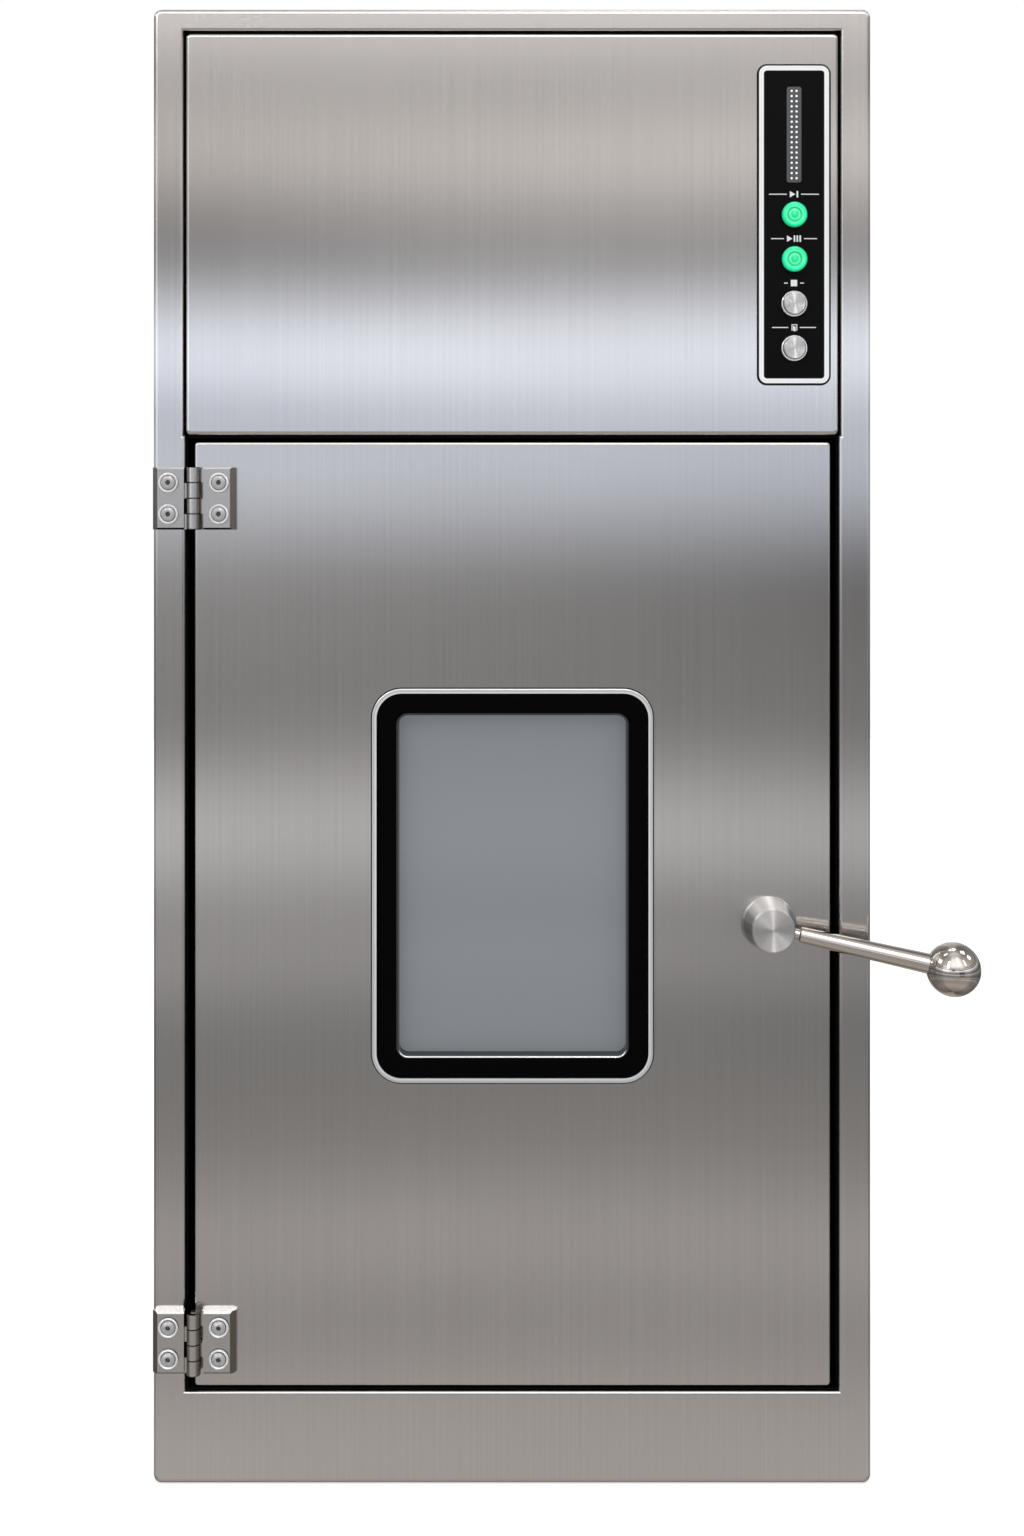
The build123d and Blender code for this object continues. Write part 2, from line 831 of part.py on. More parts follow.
def door_inner_pan():
    """Back sheet of the door, with the window opening and a raised bead around it."""
    outline = rounded(
        door_width - 2 * inner_pan_inset,
        door_height - 2 * inner_pan_inset,
        door_corner_radius,
        door_mid_x,
        door_mid_z,
    )
    y = door_back_y - sheet
    pan = plate(y, outline - glass_outline(), sheet)
    pan += plate(y, glass_outline(2 * sheet) - glass_outline(), 2 * sheet)
    return pan - plate(y, bush_hole(), sheet)


# ------------------------------------------------------------------ hinges
def knuckle_height():
    return leaf_height / knuckle_count


def hinge_leaf(side, z, owned):
    """One leaf with its knuckles. side is -1 for the frame leaf and +1 for the door leaf."""
    inner = hinge_axis_x + side * barrel_gap / 2
    outer = inner + side * leaf_width
    back, face = front_y, front_y - leaf_thickness
    section = Polyline(
        [
            (inner, back),
            (outer, back),
            (outer, face + leaf_outer_bevel),
            (outer - side * leaf_outer_bevel, face),
            (inner, face),
        ],
        close=True,
    )
    leaf = extrude(Pos(0, 0, z - leaf_height / 2) * make_face(section), leaf_height)
    ends = [
        e
        for e in leaf.edges().filter_by(Axis.X)
        if abs(e.center().Y - face) < 0.01
    ]
    leaf = chamfer(ends, leaf_end_bevel)
    axis = Pos(hinge_axis_x, hinge_axis_y)
    pitch = knuckle_height()
    web_mid = (inner + hinge_axis_x) / 2
    web_y = front_y - barrel_clearance - web_thickness / 2
    for index in owned:
        low = z + leaf_height / 2 - (index + 1) * pitch
        foot = knuckle_gap / 2 if index < knuckle_count - 1 else 0.0
        head = knuckle_gap / 2 if index > 0 else 0.0
        body = Pos(web_mid, web_y) * Rectangle(barrel_gap / 2 + web_overlap, web_thickness)
        knuckle = level(low + foot, axis * Circle(barrel_radius) + body, pitch - foot - head)
        leaf += knuckle
    bore = pin_radius + (running_fit if side > 0 else 0.0)
    leaf -= level(z - leaf_height / 2, axis * Circle(bore), leaf_height)
    x = frame_leaf_screw_x() if side < 0 else door_leaf_screw_x()
    return leaf - screw_holes(x, face, leaf_thickness)


def hinge_leaves(side):
    """Both leaves of one kind on one side of the cabinet. The knuckles alternate."""
    owned = range(0, knuckle_count, 2) if side > 0 else range(1, knuckle_count, 2)
    return [hinge_leaf(side, z, owned) for z in hinge_heights]


def hinge_pins():
    """Plain pins fixed in the frame knuckles, flush with both ends of the barrel."""
    axis = Pos(hinge_axis_x, hinge_axis_y)
    return [
        level(z - leaf_height / 2, axis * Circle(pin_radius), leaf_height) for z in hinge_heights
    ]


def cap_screw(x, z):
    """Button-head screw in its cup washer, seated on a hinge leaf."""
    seat = front_y - leaf_thickness
    cup_y = seat - cup_height
    head_y = seat - screw_head_height
    profile = [
        (0.0, head_y),
        (screw_head_radius - screw_head_round, head_y),
        (screw_head_radius, head_y + screw_head_round / 2),
        (screw_head_radius, cup_y + cup_groove),
        (screw_head_radius + cup_groove / 2, cup_y + cup_groove),
        (cup_radius - cup_groove, cup_y),
        (cup_radius, cup_y + cup_groove),
        (cup_radius, seat),
        (screw_radius, seat),
        (screw_radius, seat + screw_length),
        (0.0, seat + screw_length),
    ]
    key = Pos(x, z) * RegularPolygon(hex_key / 2, 6, major_radius=False)
    return turned(x, z, profile) - plate(head_y, key, hex_depth)


def hinge_screws(x):
    return [cap_screw(sx, sz) for z in hinge_heights for sx, sz in screw_places(x, z)]


# ------------------------------------------------------------------ handle and latch
def escutcheon_bush():
    """Bearing bush through the door, with the round escutcheon as its flange."""
    bore = spindle_radius + running_fit
    face = front_y - escutcheon_thickness
    back = door_back_y + sheet
    profile = [
        (bore, face),
        (escutcheon_radius - escutcheon_chamfer, face),
        (escutcheon_radius, face + escutcheon_chamfer),
        (escutcheon_radius, front_y),
        (bush_radius(), front_y),
        (bush_radius(), back),
        (bore, back),
    ]
    return turned(handle_x, handle_z, profile)


def handle_hub():
    """Tapered hub with a flat turned face and a cross hole for the lever's spigot."""
    face = hub_back_y - hub_height
    profile = [
        (spindle_radius, hub_back_y),
        (hub_base_radius, hub_back_y),
        (hub_base_radius, hub_back_y - hub_foot),
        (hub_face_radius, face + hub_chamfer),
        (hub_face_radius - hub_chamfer, face),
        (0.0, face),
        (0.0, hub_back_y - spindle_seat()),
        (spindle_radius, hub_back_y - spindle_seat()),
    ]
    upward = (Align.CENTER, Align.CENTER, Align.MIN)
    cross_hole = Cylinder(lever_spigot_radius, spigot_end(), align=upward)
    return turned(handle_x, handle_z, profile) - lever_place() * cross_hole


def spindle_seat():
    return lever_height - lever_spigot_radius - spindle_cover


def lever_place():
    """Frame of the lever: origin on the hub axis, local Z along the lever."""
    drop, tilt = math.radians(lever_drop_deg), math.radians(lever_tilt_deg)
    along = Vector(
        math.cos(tilt) * math.cos(drop), -math.sin(tilt), -math.cos(tilt) * math.sin(drop)
    )
    start = Vector(handle_x, hub_back_y - lever_height, handle_z)
    return Location(Plane(origin=start, z_dir=along))


def spigot_end():
    """Where the lever's spigot leaves the hub, measured along the lever."""
    return hub_base_radius + lever_neck


def ball_centre():
    return lever_reach / math.cos(math.radians(lever_tilt_deg))


def arm_end():
    return ball_centre() - ball_radius + lever_in_ball


def handle_arm():
    """Tapered arm with a thin spigot that screws into the hub."""
    end = arm_end()
    start = spigot_end()
    profile = [
        (0.0, spindle_radius),
        (lever_spigot_radius, spindle_radius),
        (lever_spigot_radius, start),
        (lever_root_radius - lever_root_chamfer, start),
        (lever_root_radius, start + lever_root_chamfer),
        (lever_tip_radius, end - lever_in_ball),
        (lever_tip_radius, end),
        (0.0, end),
    ]
    outline = make_face(Plane.XZ * Polyline(profile, close=True))
    return lever_place() * revolve(outline, Axis.Z)


def handle_ball():
    """Polished ball with a flat-bottomed socket for the arm."""
    ball = Pos(0, 0, ball_centre()) * Sphere(ball_radius)
    downward = (Align.CENTER, Align.CENTER, Align.MAX)
    socket = Pos(0, 0, arm_end()) * Cylinder(lever_tip_radius, ball_radius, align=downward)
    return lever_place() * (ball - socket)


def latch_set():
    """Spindle with its collar, and the cam that turns behind the keeper."""
    seat_y = hub_back_y - spindle_seat()
    cam_back = cam_front_y + cam_thickness
    neck = spindle_radius - spindle_step
    end_y = cam_back + spindle_nut
    profile = [
        (0.0, seat_y),
        (spindle_radius, seat_y),
        (spindle_radius, cam_front_y),
        (neck, cam_front_y),
        (neck, cam_back),
        (spindle_nut_radius, cam_back),
        (spindle_nut_radius, end_y - spindle_nut_chamfer),
        (spindle_nut_radius - spindle_nut_chamfer, end_y),
        (0.0, end_y),
    ]
    spindle = turned(handle_x, handle_z, profile)
    tip = Rot(0, 0, lever_turn_deg) * Pos(cam_reach, 0) * Circle(cam_tip_radius)
    outline = make_hull((Circle(cam_boss_radius) + tip).edges()) - Circle(neck)
    return [spindle, plate(cam_front_y, Pos(handle_x, handle_z) * outline, cam_thickness)]


def latch_keeper():
    """Bevelled block on the chamber wall that the cam turns behind."""
    y = landing_y + sheet + keeper_setback
    x = chamber_width / 2 - keeper_reach / 2
    block = plate(y, rectangle(keeper_reach, keeper_height, x, handle_z), keeper_thickness)
    edges = [
        e
        for e in block.edges().filter_by(Axis.X)
        if abs(e.center().Y - y - keeper_thickness) < 0.01
    ]
    return chamfer(edges, keeper_thickness / 4)


def interlock_magnet():
    """Holding magnet under the chamber ceiling, just inside the door."""
    y = door_back_y + armature_thickness + magnet_face_gap
    z = chamber_ceiling - magnet_height / 2
    outline = rounded(magnet_length, magnet_height, 3.0, magnet_from_middle, z)
    return plate(y, outline, magnet_depth + landing_y - y)


def armature_plate():
    z = chamber_ceiling - magnet_height / 2
    outline = rounded(
        magnet_length - 6.0, magnet_height - 4.0, 3.0, magnet_from_middle, z
    )
    return plate(door_back_y, outline, armature_thickness)


# ------------------------------------------------------------------ air handling
def filter_frame():
    outer = Rectangle(filter_width, filter_length)
    inner = Rectangle(filter_width - 2 * filter_wall, filter_length - 2 * filter_wall)
    return level(filter_z, outer - inner, filter_height)


def filter_media():
    """Pleated filter pack, drawn as one zigzag sheet across the frame."""
    width = filter_width - 2 * filter_wall
    pleats = int(width // pleat_pitch)
    pitch = width / pleats
    low = filter_z + pleat_clearance
    high = filter_z + filter_height - pleat_clearance - pleat_thickness
    lower = []
    for i in range(pleats):
        x = -width / 2 + i * pitch
        lower += [(x, low), (x + pitch / 2, high)]
    lower.append((width / 2, low))
    upper = [(x, z + pleat_thickness) for x, z in reversed(lower)]
    outline = make_face(Polyline(lower + upper, close=True))
    length = filter_length - 2 * filter_wall
    return plate(-length / 2, outline, length)


def plenum_hood():
    """Hood over the filter, with a bell-mouth pressed into its top for the fan."""
    outer = Rectangle(filter_width, filter_length)
    inner = Rectangle(filter_width - 2 * sheet, filter_length - 2 * sheet)
    height = hood_top - hood_z
    hood = level(hood_z, outer, height) - level(hood_z, inner, height - sheet)
    hood -= level(hood_top - sheet, Circle(inlet_radius + inlet_flare), sheet)
    mouth = inlet_radius + inlet_flare
    top = hood_top
    low = hood_top - inlet_depth
    section = make_face(
        [
            Line((mouth, top), (mouth, top - sheet)),
            RadiusArc((mouth, top - sheet), (inlet_radius + sheet, top - inlet_flare), inlet_flare),
            Line((inlet_radius + sheet, top - inlet_flare), (inlet_radius + sheet, low)),
            Line((inlet_radius + sheet, low), (inlet_radius, low)),
            Line((inlet_radius, low), (inlet_radius, top - inlet_flare)),
            RadiusArc((inlet_radius, top - inlet_flare), (mouth, top), -inlet_flare),
        ]
    )
    return hood + revolve(Plane.XZ * section, Axis.Z)


def motor_bracket():
    """Channel across the hood that carries the fan motor."""
    span = filter_width - 2 * sheet
    outer = Pos(0, bracket_height / 2) * Rectangle(bracket_width, bracket_height)
    inner = Pos(0, bracket_height / 2 - sheet) * Rectangle(
        bracket_width - 2 * sheet, bracket_height
    )
    channel = extrude(Plane.YZ.offset(-span / 2) * (outer - inner), span)
    return Pos(0, 0, bracket_z) * channel


def blower_motor():
    """Stator of the external-rotor motor, with its fixed shaft."""
    shaft_top = rotor_z + rotor_height - rotor_crown - shaft_end_gap
    stator = level(motor_z, Circle(stator_radius), stator_height)
    stator = fillet(stator.edges().group_by(Axis.Z)[-1], stator_edge_radius)
    return stator + level(motor_z, Circle(motor_shaft_radius), shaft_top - motor_z)


def blade_outline(angle):
    """Backward-curved blade between the rotor and the rim, as an arc band."""
    inner, outer = rotor_radius + blade_foot_gap, impeller_radius - blade_thickness
    start = Vector(inner, 0).rotate(Axis.Z, angle)
    end = Vector(outer, 0).rotate(Axis.Z, angle - blade_sweep_deg)
    chord = (end - start).length
    path = RadiusArc(tuple(start)[:2], tuple(end)[:2], chord * blade_curve)
    return trace(path, blade_thickness)


def shroud_line(grow):
    """Half section of the shroud, from its rim to its neck, moved up and out by grow."""
    throat = inlet_radius + sheet + throat_clearance
    return [
        (impeller_radius, impeller_plate_z + blade_height + grow),
        (throat + shroud_shoulder + grow, impeller_plate_z + blade_height + shroud_rise + grow),
        (throat + grow, impeller_plate_z + impeller_height),
    ]


def blower_impeller():
    """Rotor cup, back plate, curved blades and the shroud around the bell-mouth."""
    cup = level(rotor_z, Circle(rotor_radius), rotor_height)
    cup = fillet(cup.edges().group_by(Axis.Z)[-1], rotor_edge_radius)
    back_plate = level(impeller_plate_z, Circle(impeller_radius), impeller_plate)
    bore = Circle(motor_shaft_radius + running_fit)
    wheel = cup + back_plate - level(rotor_z, bore, rotor_height - rotor_crown)
    blades = Sketch() + [blade_outline(i * 360 / blade_count) for i in range(blade_count)]
    under, over = shroud_line(0.0), shroud_line(impeller_plate)
    middle = shroud_line(impeller_plate / 2)
    foot = [(0, rotor_z), (impeller_radius, rotor_z)]
    envelope = Polyline([*foot, *middle[:2], (0, middle[1][1])], close=True)
    blades = level(impeller_plate_z, blades, impeller_height)
    blades = blades & revolve(Plane.XZ * make_face(envelope), Axis.Z)
    shroud = make_face(Polyline([*under, *reversed(over)], close=True))
    return wheel + blades + revolve(Plane.XZ * shroud, Axis.Z)


def control_enclosure():
    """Closed box with the controller and power supply, standing on the hood."""
    def slab(z, grow, height):
        outline = RectangleRounded(
            control_box_width + 2 * grow, control_box_length + 2 * grow, control_box_corner + grow
        )
        return level(z, Pos(control_box_x, 0) * outline, height)

    lid_z = hood_top + control_box_height
    return slab(hood_top, 0, control_box_height) + slab(lid_z, lid_overhang, control_box_lid)


# ------------------------------------------------------------------ cable gland
def gland_hole():
    hole = Circle(gland_stem_radius + gland_stem_clearance)
    return level(cabinet_height - sheet, Pos(control_box_x, 0) * hole, sheet)


def cable_gland():
    """Hollow gland through the roof: lock nut below, hexagon and domed cap above."""
    place = Pos(control_box_x, 0)

    def hexagon(across_flats):
        return place * RegularPolygon(across_flats / 2, 6, major_radius=False)

    foot = cabinet_height - gland_stem_length
    cap_z = cabinet_height + gland_body_height
    cap = level(cap_z, place * Circle(gland_cap_radius), gland_cap_height)
    cap = fillet(cap.edges().group_by(Axis.Z)[-1], gland_cap_round)
    nut_z = cabinet_height - sheet - gland_nut_thickness
    gland = level(foot, place * Circle(gland_stem_radius), gland_stem_length)
    gland += level(nut_z, hexagon(gland_nut_across_flats), gland_nut_thickness)
    gland += level(cabinet_height, hexagon(gland_body_across_flats), gland_body_height) + cap
    height = cap_z + gland_cap_height - foot
    return gland - level(foot, place * Circle(gland_bore), height)


# ------------------------------------------------------------------ assembly
def door_set():
    """Every piece that swings with the front door, apart from the turning handle."""
    return {
        "door_skin": door_skin(),
        "door_inner_pan": door_inner_pan(),
        "window_frame": window_frame(),
        "window_gaskets": window_gaskets(),
        "window_panes": window_panes(),
        "hinge_door_leaves": hinge_leaves(1),
        "hinge_door_screws": hinge_screws(door_leaf_screw_x()),
        "escutcheon_bush": escutcheon_bush(),
        "armature_plate": armature_plate(),
        "handle_hub": handle_hub(),
        "handle_arm": handle_arm(),
        "handle_ball": handle_ball(),
        "latch_cam_spindle": latch_set(),
    }


def both_sides(solids):
    """The given front solids, and the same solids on the rear side."""
    return [*solids, *[to_rear(s) for s in solids]]


def build():
    parts = casing()
    frame = face_frame()
    parts["front_frame"] = frame
    parts["rear_frame"] = to_rear(frame)
    parts["chamber_liner"] = chamber_liner()
    parts["diffuser_plate"] = diffuser_plate()
    parts["return_grilles"] = return_grilles()
    seals = both_sides([door_seal(), panel_gasket()])
    parts["door_and_panel_seals"] = [*seals, strip_gasket()]
    parts["front_service_panel"] = front_service_panel()
    parts["rear_service_panel"] = to_rear(service_panel())
    parts["control_bezel"] = control_bezel()
    parts["control_fascia"] = control_fascia()
    parts["led_bar_lens"] = led_bar_lens()
    parts["button_short_cycle"] = cycle_button(button_heights[0])
    parts["button_long_cycle"] = cycle_button(button_heights[1])
    parts["button_stop"] = metal_button(button_heights[2])
    parts["button_open_door"] = metal_button(button_heights[3])
    parts["metal_button_rims"] = [metal_button_rim(z) for z in button_heights[2:]]
    parts["switch_bodies"] = [switch_body(z) for z in button_heights]
    parts["hinge_frame_leaves"] = both_sides(hinge_leaves(-1))
    parts["hinge_pins"] = both_sides(hinge_pins())
    parts["hinge_frame_screws"] = both_sides(hinge_screws(frame_leaf_screw_x()))
    parts["latch_keepers"] = both_sides([latch_keeper()])
    parts["interlock_magnets"] = both_sides([interlock_magnet()])
    for name, piece in door_set().items():
        solids = piece if isinstance(piece, list) else [piece]
        parts["front_" + name] = solids
        parts["rear_" + name] = [to_rear(s) for s in solids]
    parts["filter_frame"] = filter_frame()
    parts["filter_media"] = filter_media()
    parts["plenum_hood"] = plenum_hood()
    parts["motor_bracket"] = motor_bracket()
    parts["blower_motor"] = blower_motor()
    parts["blower_impeller"] = blower_impeller()
    parts["control_enclosure"] = control_enclosure()
    parts["cable_gland"] = cable_gland()
    return parts


def write(parts):
    os.makedirs("parts", exist_ok=True)
    for name, piece in parts.items():
        solids = piece if isinstance(piece, list) else [piece]
        bodies = [solid for part in solids for solid in part.solids()]
        export_step(Compound(children=bodies), f"parts/{name}.step")


write(build())
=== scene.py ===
"""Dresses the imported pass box: finishes, display dots, pictograms, floor, light and camera.

Everything is in metres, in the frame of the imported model: +Z up, the front faces -Y.
"""

import json
import math

import bmesh
import bpy
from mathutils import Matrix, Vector


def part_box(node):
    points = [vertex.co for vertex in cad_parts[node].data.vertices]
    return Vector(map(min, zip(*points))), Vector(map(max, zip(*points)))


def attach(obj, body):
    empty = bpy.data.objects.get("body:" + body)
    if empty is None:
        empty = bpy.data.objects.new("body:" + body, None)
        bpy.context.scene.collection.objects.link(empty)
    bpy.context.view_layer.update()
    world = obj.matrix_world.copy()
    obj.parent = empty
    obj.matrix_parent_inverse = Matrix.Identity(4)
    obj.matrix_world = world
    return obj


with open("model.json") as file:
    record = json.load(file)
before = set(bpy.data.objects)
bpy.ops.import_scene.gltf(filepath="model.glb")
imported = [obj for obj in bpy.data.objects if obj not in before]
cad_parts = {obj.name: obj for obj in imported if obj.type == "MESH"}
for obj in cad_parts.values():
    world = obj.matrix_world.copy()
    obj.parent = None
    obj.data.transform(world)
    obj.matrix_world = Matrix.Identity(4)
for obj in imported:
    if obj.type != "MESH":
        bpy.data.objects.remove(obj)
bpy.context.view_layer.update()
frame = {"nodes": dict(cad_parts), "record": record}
nodes = frame["nodes"]

MM = 0.001
FRONT_Y = -0.340  # plane of the front face

# ------------------------------------------------------------------ camera
CAMERA_DISTANCE = 1.65  # from the front face
CAMERA_HEIGHT = 0.942
VIEW_HEIGHT = 1.5401  # what the picture spans at the front face
VIEW_MIDDLE = 0.7184
SENSOR = 36.0
CLIP_START = 0.05


def make_camera():
    """Looks straight at the front. The lens is shifted down, so that upright lines stay upright."""
    data = bpy.data.cameras.new("camera")
    data.sensor_fit = "VERTICAL"
    data.sensor_height = SENSOR
    data.lens = SENSOR * CAMERA_DISTANCE / VIEW_HEIGHT
    data.shift_y = (VIEW_MIDDLE - CAMERA_HEIGHT) / VIEW_HEIGHT
    data.clip_start = CLIP_START
    camera = bpy.data.objects.new("camera", data)
    camera.location = (0.0, FRONT_Y - CAMERA_DISTANCE, CAMERA_HEIGHT)
    camera.rotation_euler = (math.radians(90), 0.0, 0.0)
    bpy.context.scene.collection.objects.link(camera)
    bpy.context.scene.camera = camera


# ------------------------------------------------------------------ shader helpers
class Shader:
    """A new material with its Principled shader and short ways to add nodes."""

    def __init__(self, name, colour, metallic=0.0, roughness=0.5):
        self.material = bpy.data.materials.new(name)
        self.material.use_nodes = True
        self.tree = self.material.node_tree
        self.bsdf = self.tree.nodes["Principled BSDF"]
        self.set("Base Color", (*colour, 1.0))
        self.set("Metallic", metallic)
        self.set("Roughness", roughness)

    def set(self, socket, value):
        self.bsdf.inputs[socket].default_value = value

    def add(self, kind, **values):
        node = self.tree.nodes.new(kind)
        for key, value in values.items():
            if key in node.inputs:
                node.inputs[key].default_value = value
            else:
                setattr(node, key, value)
        return node

    def link(self, source, target):
        self.tree.links.new(source, target)

    def to(self, source, socket):
        self.link(source, self.bsdf.inputs[socket])

    def noise(self, per_metre, detail=2.0):
        """Noise over the object's own coordinates, so many to the metre along each axis."""
        place = self.add("ShaderNodeTexCoord")
        stretch = self.add("ShaderNodeMapping")
        stretch.inputs["Scale"].default_value = per_metre
        self.link(place.outputs["Object"], stretch.inputs["Vector"])
        noise = self.add("ShaderNodeTexNoise")
        noise.inputs["Scale"].default_value = 1.0
        noise.inputs["Detail"].default_value = detail
        self.link(stretch.outputs["Vector"], noise.inputs["Vector"])
        return noise.outputs["Fac"]

    def even_noise(self, per_metre, detail=2.0):
        return self.noise((per_metre,) * 3, detail)

    def ranged(self, source, low, high, from_low=0.3, from_high=0.7):
        """The source, brought from its own range into low..high. Noise mostly fills 0.3..0.7."""
        ranger = self.add("ShaderNodeMapRange")
        ranger.inputs["From Min"].default_value = from_low
        ranger.inputs["From Max"].default_value = from_high
        ranger.inputs["To Min"].default_value = low
        ranger.inputs["To Max"].default_value = high
        self.link(source, ranger.inputs["Value"])
        return ranger.outputs["Result"]

    def bump(self, source, strength, depth):
        bump = self.add("ShaderNodeBump")
        bump.inputs["Strength"].default_value = strength
        bump.inputs["Distance"].default_value = depth
        self.link(source, bump.inputs["Height"])
        self.to(bump.outputs["Normal"], "Normal")

    def straight_tangent(self, direction):
        vector = self.add("ShaderNodeCombineXYZ")
        for axis, value in zip("XYZ", direction):
            vector.inputs[axis].default_value = value
        self.to(vector.outputs["Vector"], "Tangent")

    def radial_tangent(self, axis):
        tangent = self.add("ShaderNodeTangent", direction_type="RADIAL", axis=axis)
        self.to(tangent.outputs["Tangent"], "Tangent")

    def math(self, operation, first, second=None):
        node = self.add("ShaderNodeMath", operation=operation)
        for socket, value in zip(node.inputs, (first, second)):
            if isinstance(value, (int, float)):
                socket.default_value = value
            elif value is not None:
                self.link(value, socket)
        return node.outputs["Value"]

    def vector_math(self, operation, first, second=None, output="Vector"):
        node = self.add("ShaderNodeVectorMath", operation=operation)
        for socket, value in zip(node.inputs, (first, second)):
            if isinstance(value, tuple):
                socket.default_value = value
            elif value is not None:
                self.link(value, socket)
        return node.outputs[output]

    def along(self, axis, kind="Object"):
        """One axis of a coordinate: the place in the object or, with Normal, where it faces."""
        place = self.add("ShaderNodeTexCoord")
        split = self.add("ShaderNodeSeparateXYZ")
        self.link(place.outputs[kind], split.inputs["Vector"])
        return split.outputs[axis]

    def facing(self, axis, start, full):
        """0 to 1 as the surface turns towards the axis, either way along it."""
        return self.smooth(self.math("ABSOLUTE", self.along(axis, "Normal")), start, full)

    def smooth(self, value, start, full):
        """0 at the start, 1 at full, with soft ends."""
        fall = self.add("ShaderNodeMapRange", interpolation_type="SMOOTHSTEP")
        fall.inputs["From Min"].default_value = start
        fall.inputs["From Max"].default_value = full
        self.link(value, fall.inputs["Value"])
        return fall.outputs["Result"]

    def mixed(self, factor, first, second):
        """A colour between two, each a colour or a socket, by the factor."""
        mix = self.add("ShaderNodeMix", data_type="RGBA")
        for name, value in (("A", first), ("B", second)):
            socket = [s for s in mix.inputs if s.name == name and s.type == "RGBA"][0]
            if isinstance(value, tuple):
                socket.default_value = (*value, 1.0)
            else:
                self.link(value, socket)
        self.link(factor, mix.inputs["Factor"])
        return [s for s in mix.outputs if s.type == "RGBA"][0]

    def stops(self, source, colours, interpolation="LINEAR"):
        """A run through colours, each at its own place from 0 to 1."""
        node = self.add("ShaderNodeValToRGB")
        node.color_ramp.interpolation = interpolation
        self.link(source, node.inputs["Fac"])
        marks = node.color_ramp.elements
        for index, (position, colour) in enumerate(colours):
            mark = marks[index] if index < 2 else marks.new(position)
            mark.position = position
            mark.color = (*colour, 1.0)
        return node.outputs["Color"]


def shade(colour, factor):
    return tuple(c * factor for c in colour)


# ------------------------------------------------------------------ materials
VERTICAL = (0.0, 0.0, 1.0)
ALONG_Y = (0.0, 1.0, 0.0)
QUARTER_TURN = 0.25  # sets the spread of a highlight across the tangent

FACE_TONE = (0.612, 0.592, 0.578)
# colour of painted highlights on faces that turn up
PAINTED_HIGHLIGHT = (0.95, 0.95, 0.95)
GRAIN_PER_METRE = 300.0
GRAIN_ALONG_PER_METRE = 2.0
GRAIN_DEPTH = 0.04 * MM
GRAIN_STRETCH = 0.95

# hinges
PIN_RADIUS = 3.5 * MM
BARREL_RADIUS = 8.0 * MM
HINGE_HEIGHT = 62.0 * MM
KNUCKLES = 4
# painted shade in the knuckle joints: full near a joint's middle, gone at the first distance
JOINT_EDGE = 0.9 * MM  # from the middle of a joint between knuckles
JOINT_DARK = 0.35 * MM
# painted shade in the screw grooves: starts at the first depth and is full at the second
SCREW_SUNK = 2.15 * MM  # below the faces of the screw heads
SCREW_FULL_SHADE = 2.45 * MM

# rims: tone by the distance in from the outline in mm
WINDOW_CORNER = 30.0 * MM
STRIP_CORNER = 9.0 * MM
SLEEVE_TONE = (0.055, 0.060, 0.065)
# the darker outer edge and the grey line at 2.2 mm are painted shade
WINDOW_SECTION = [
    (0.0, (0.42, 0.41, 0.40)),
    (1.0, (0.74, 0.75, 0.77)),
    (2.2, (0.62, 0.63, 0.66)),
    (3.2, (0.93, 0.93, 0.95)),
    (5.4, (0.93, 0.93, 0.95)),
    (8.0, SLEEVE_TONE),
    (30.0, SLEEVE_TONE),
]
# the dark bands at both edges and the grey line at 3.1 mm are painted shade
STRIP_SECTION = [
    (0.0, (0.04, 0.04, 0.04)),
    (0.9, (0.04, 0.04, 0.04)),
    (1.3, (1.0, 1.0, 1.0)),
    (2.6, (1.0, 1.0, 1.0)),
    (3.1, (0.78, 0.78, 0.80)),
    (3.6, (1.0, 1.0, 1.0)),
    (5.2, (1.0, 1.0, 1.0)),
    (6.0, (0.06, 0.06, 0.06)),
    (9.0, (0.06, 0.06, 0.06)),
]

# tone of a green button from its middle, at 0, to its rim, at 1. The lighter rings are painted
# highlights on its ridges and the darker rings painted shade in its grooves
GREEN_RINGS = [
    (0.00, (0.030, 0.76, 0.38)),
    (0.24, (0.005, 0.60, 0.21)),
    (0.40, (0.110, 0.86, 0.50)),
    (0.50, (0.003, 0.48, 0.14)),
    (0.56, (0.003, 0.48, 0.14)),
    (0.66, (0.120, 0.86, 0.52)),
    (0.84, (0.012, 0.76, 0.33)),
    (1.00, (0.008, 0.50, 0.23)),
]
LIT_STRENGTH = 0.35


def brushed_steel(name, colour, grain=VERTICAL, roughness=0.20, streak=0.07):
    """Straight grain: highlights spread across it, with fine streaks in tone and gloss."""
    s = Shader(name, colour, metallic=1.0, roughness=roughness)
    per_metre = [GRAIN_ALONG_PER_METRE if g else GRAIN_PER_METRE for g in grain]
    streaks = s.noise(per_metre, detail=4.0)
    s.to(s.mixed(streaks, shade(colour, 1 - streak), shade(colour, 1 + streak)), "Base Color")
    s.to(s.ranged(s.even_noise(3.0), roughness * 0.94, roughness * 1.06), "Roughness")
    s.set("Anisotropic", GRAIN_STRETCH)
    s.set("Anisotropic Rotation", QUARTER_TURN)
    s.straight_tangent(grain)
    s.bump(streaks, strength=0.05, depth=GRAIN_DEPTH)
    return s.material


def turned_steel(name, colour, roughness):
    """Concentric tool marks about the piece's own Y axis, with painted shade on the sides."""
    s = Shader(name, colour, metallic=1.0, roughness=roughness)
    s.set("Anisotropic", 1.0)
    s.set("Anisotropic Rotation", QUARTER_TURN)
    s.radial_tangent("Y")
    # painted shade on faces that turn along X
    painted_shade_sideways = s.facing("X", start=0.45, full=0.85)
    s.to(s.mixed(painted_shade_sideways, colour, shade(colour, 0.42)), "Base Color")
    return s.material


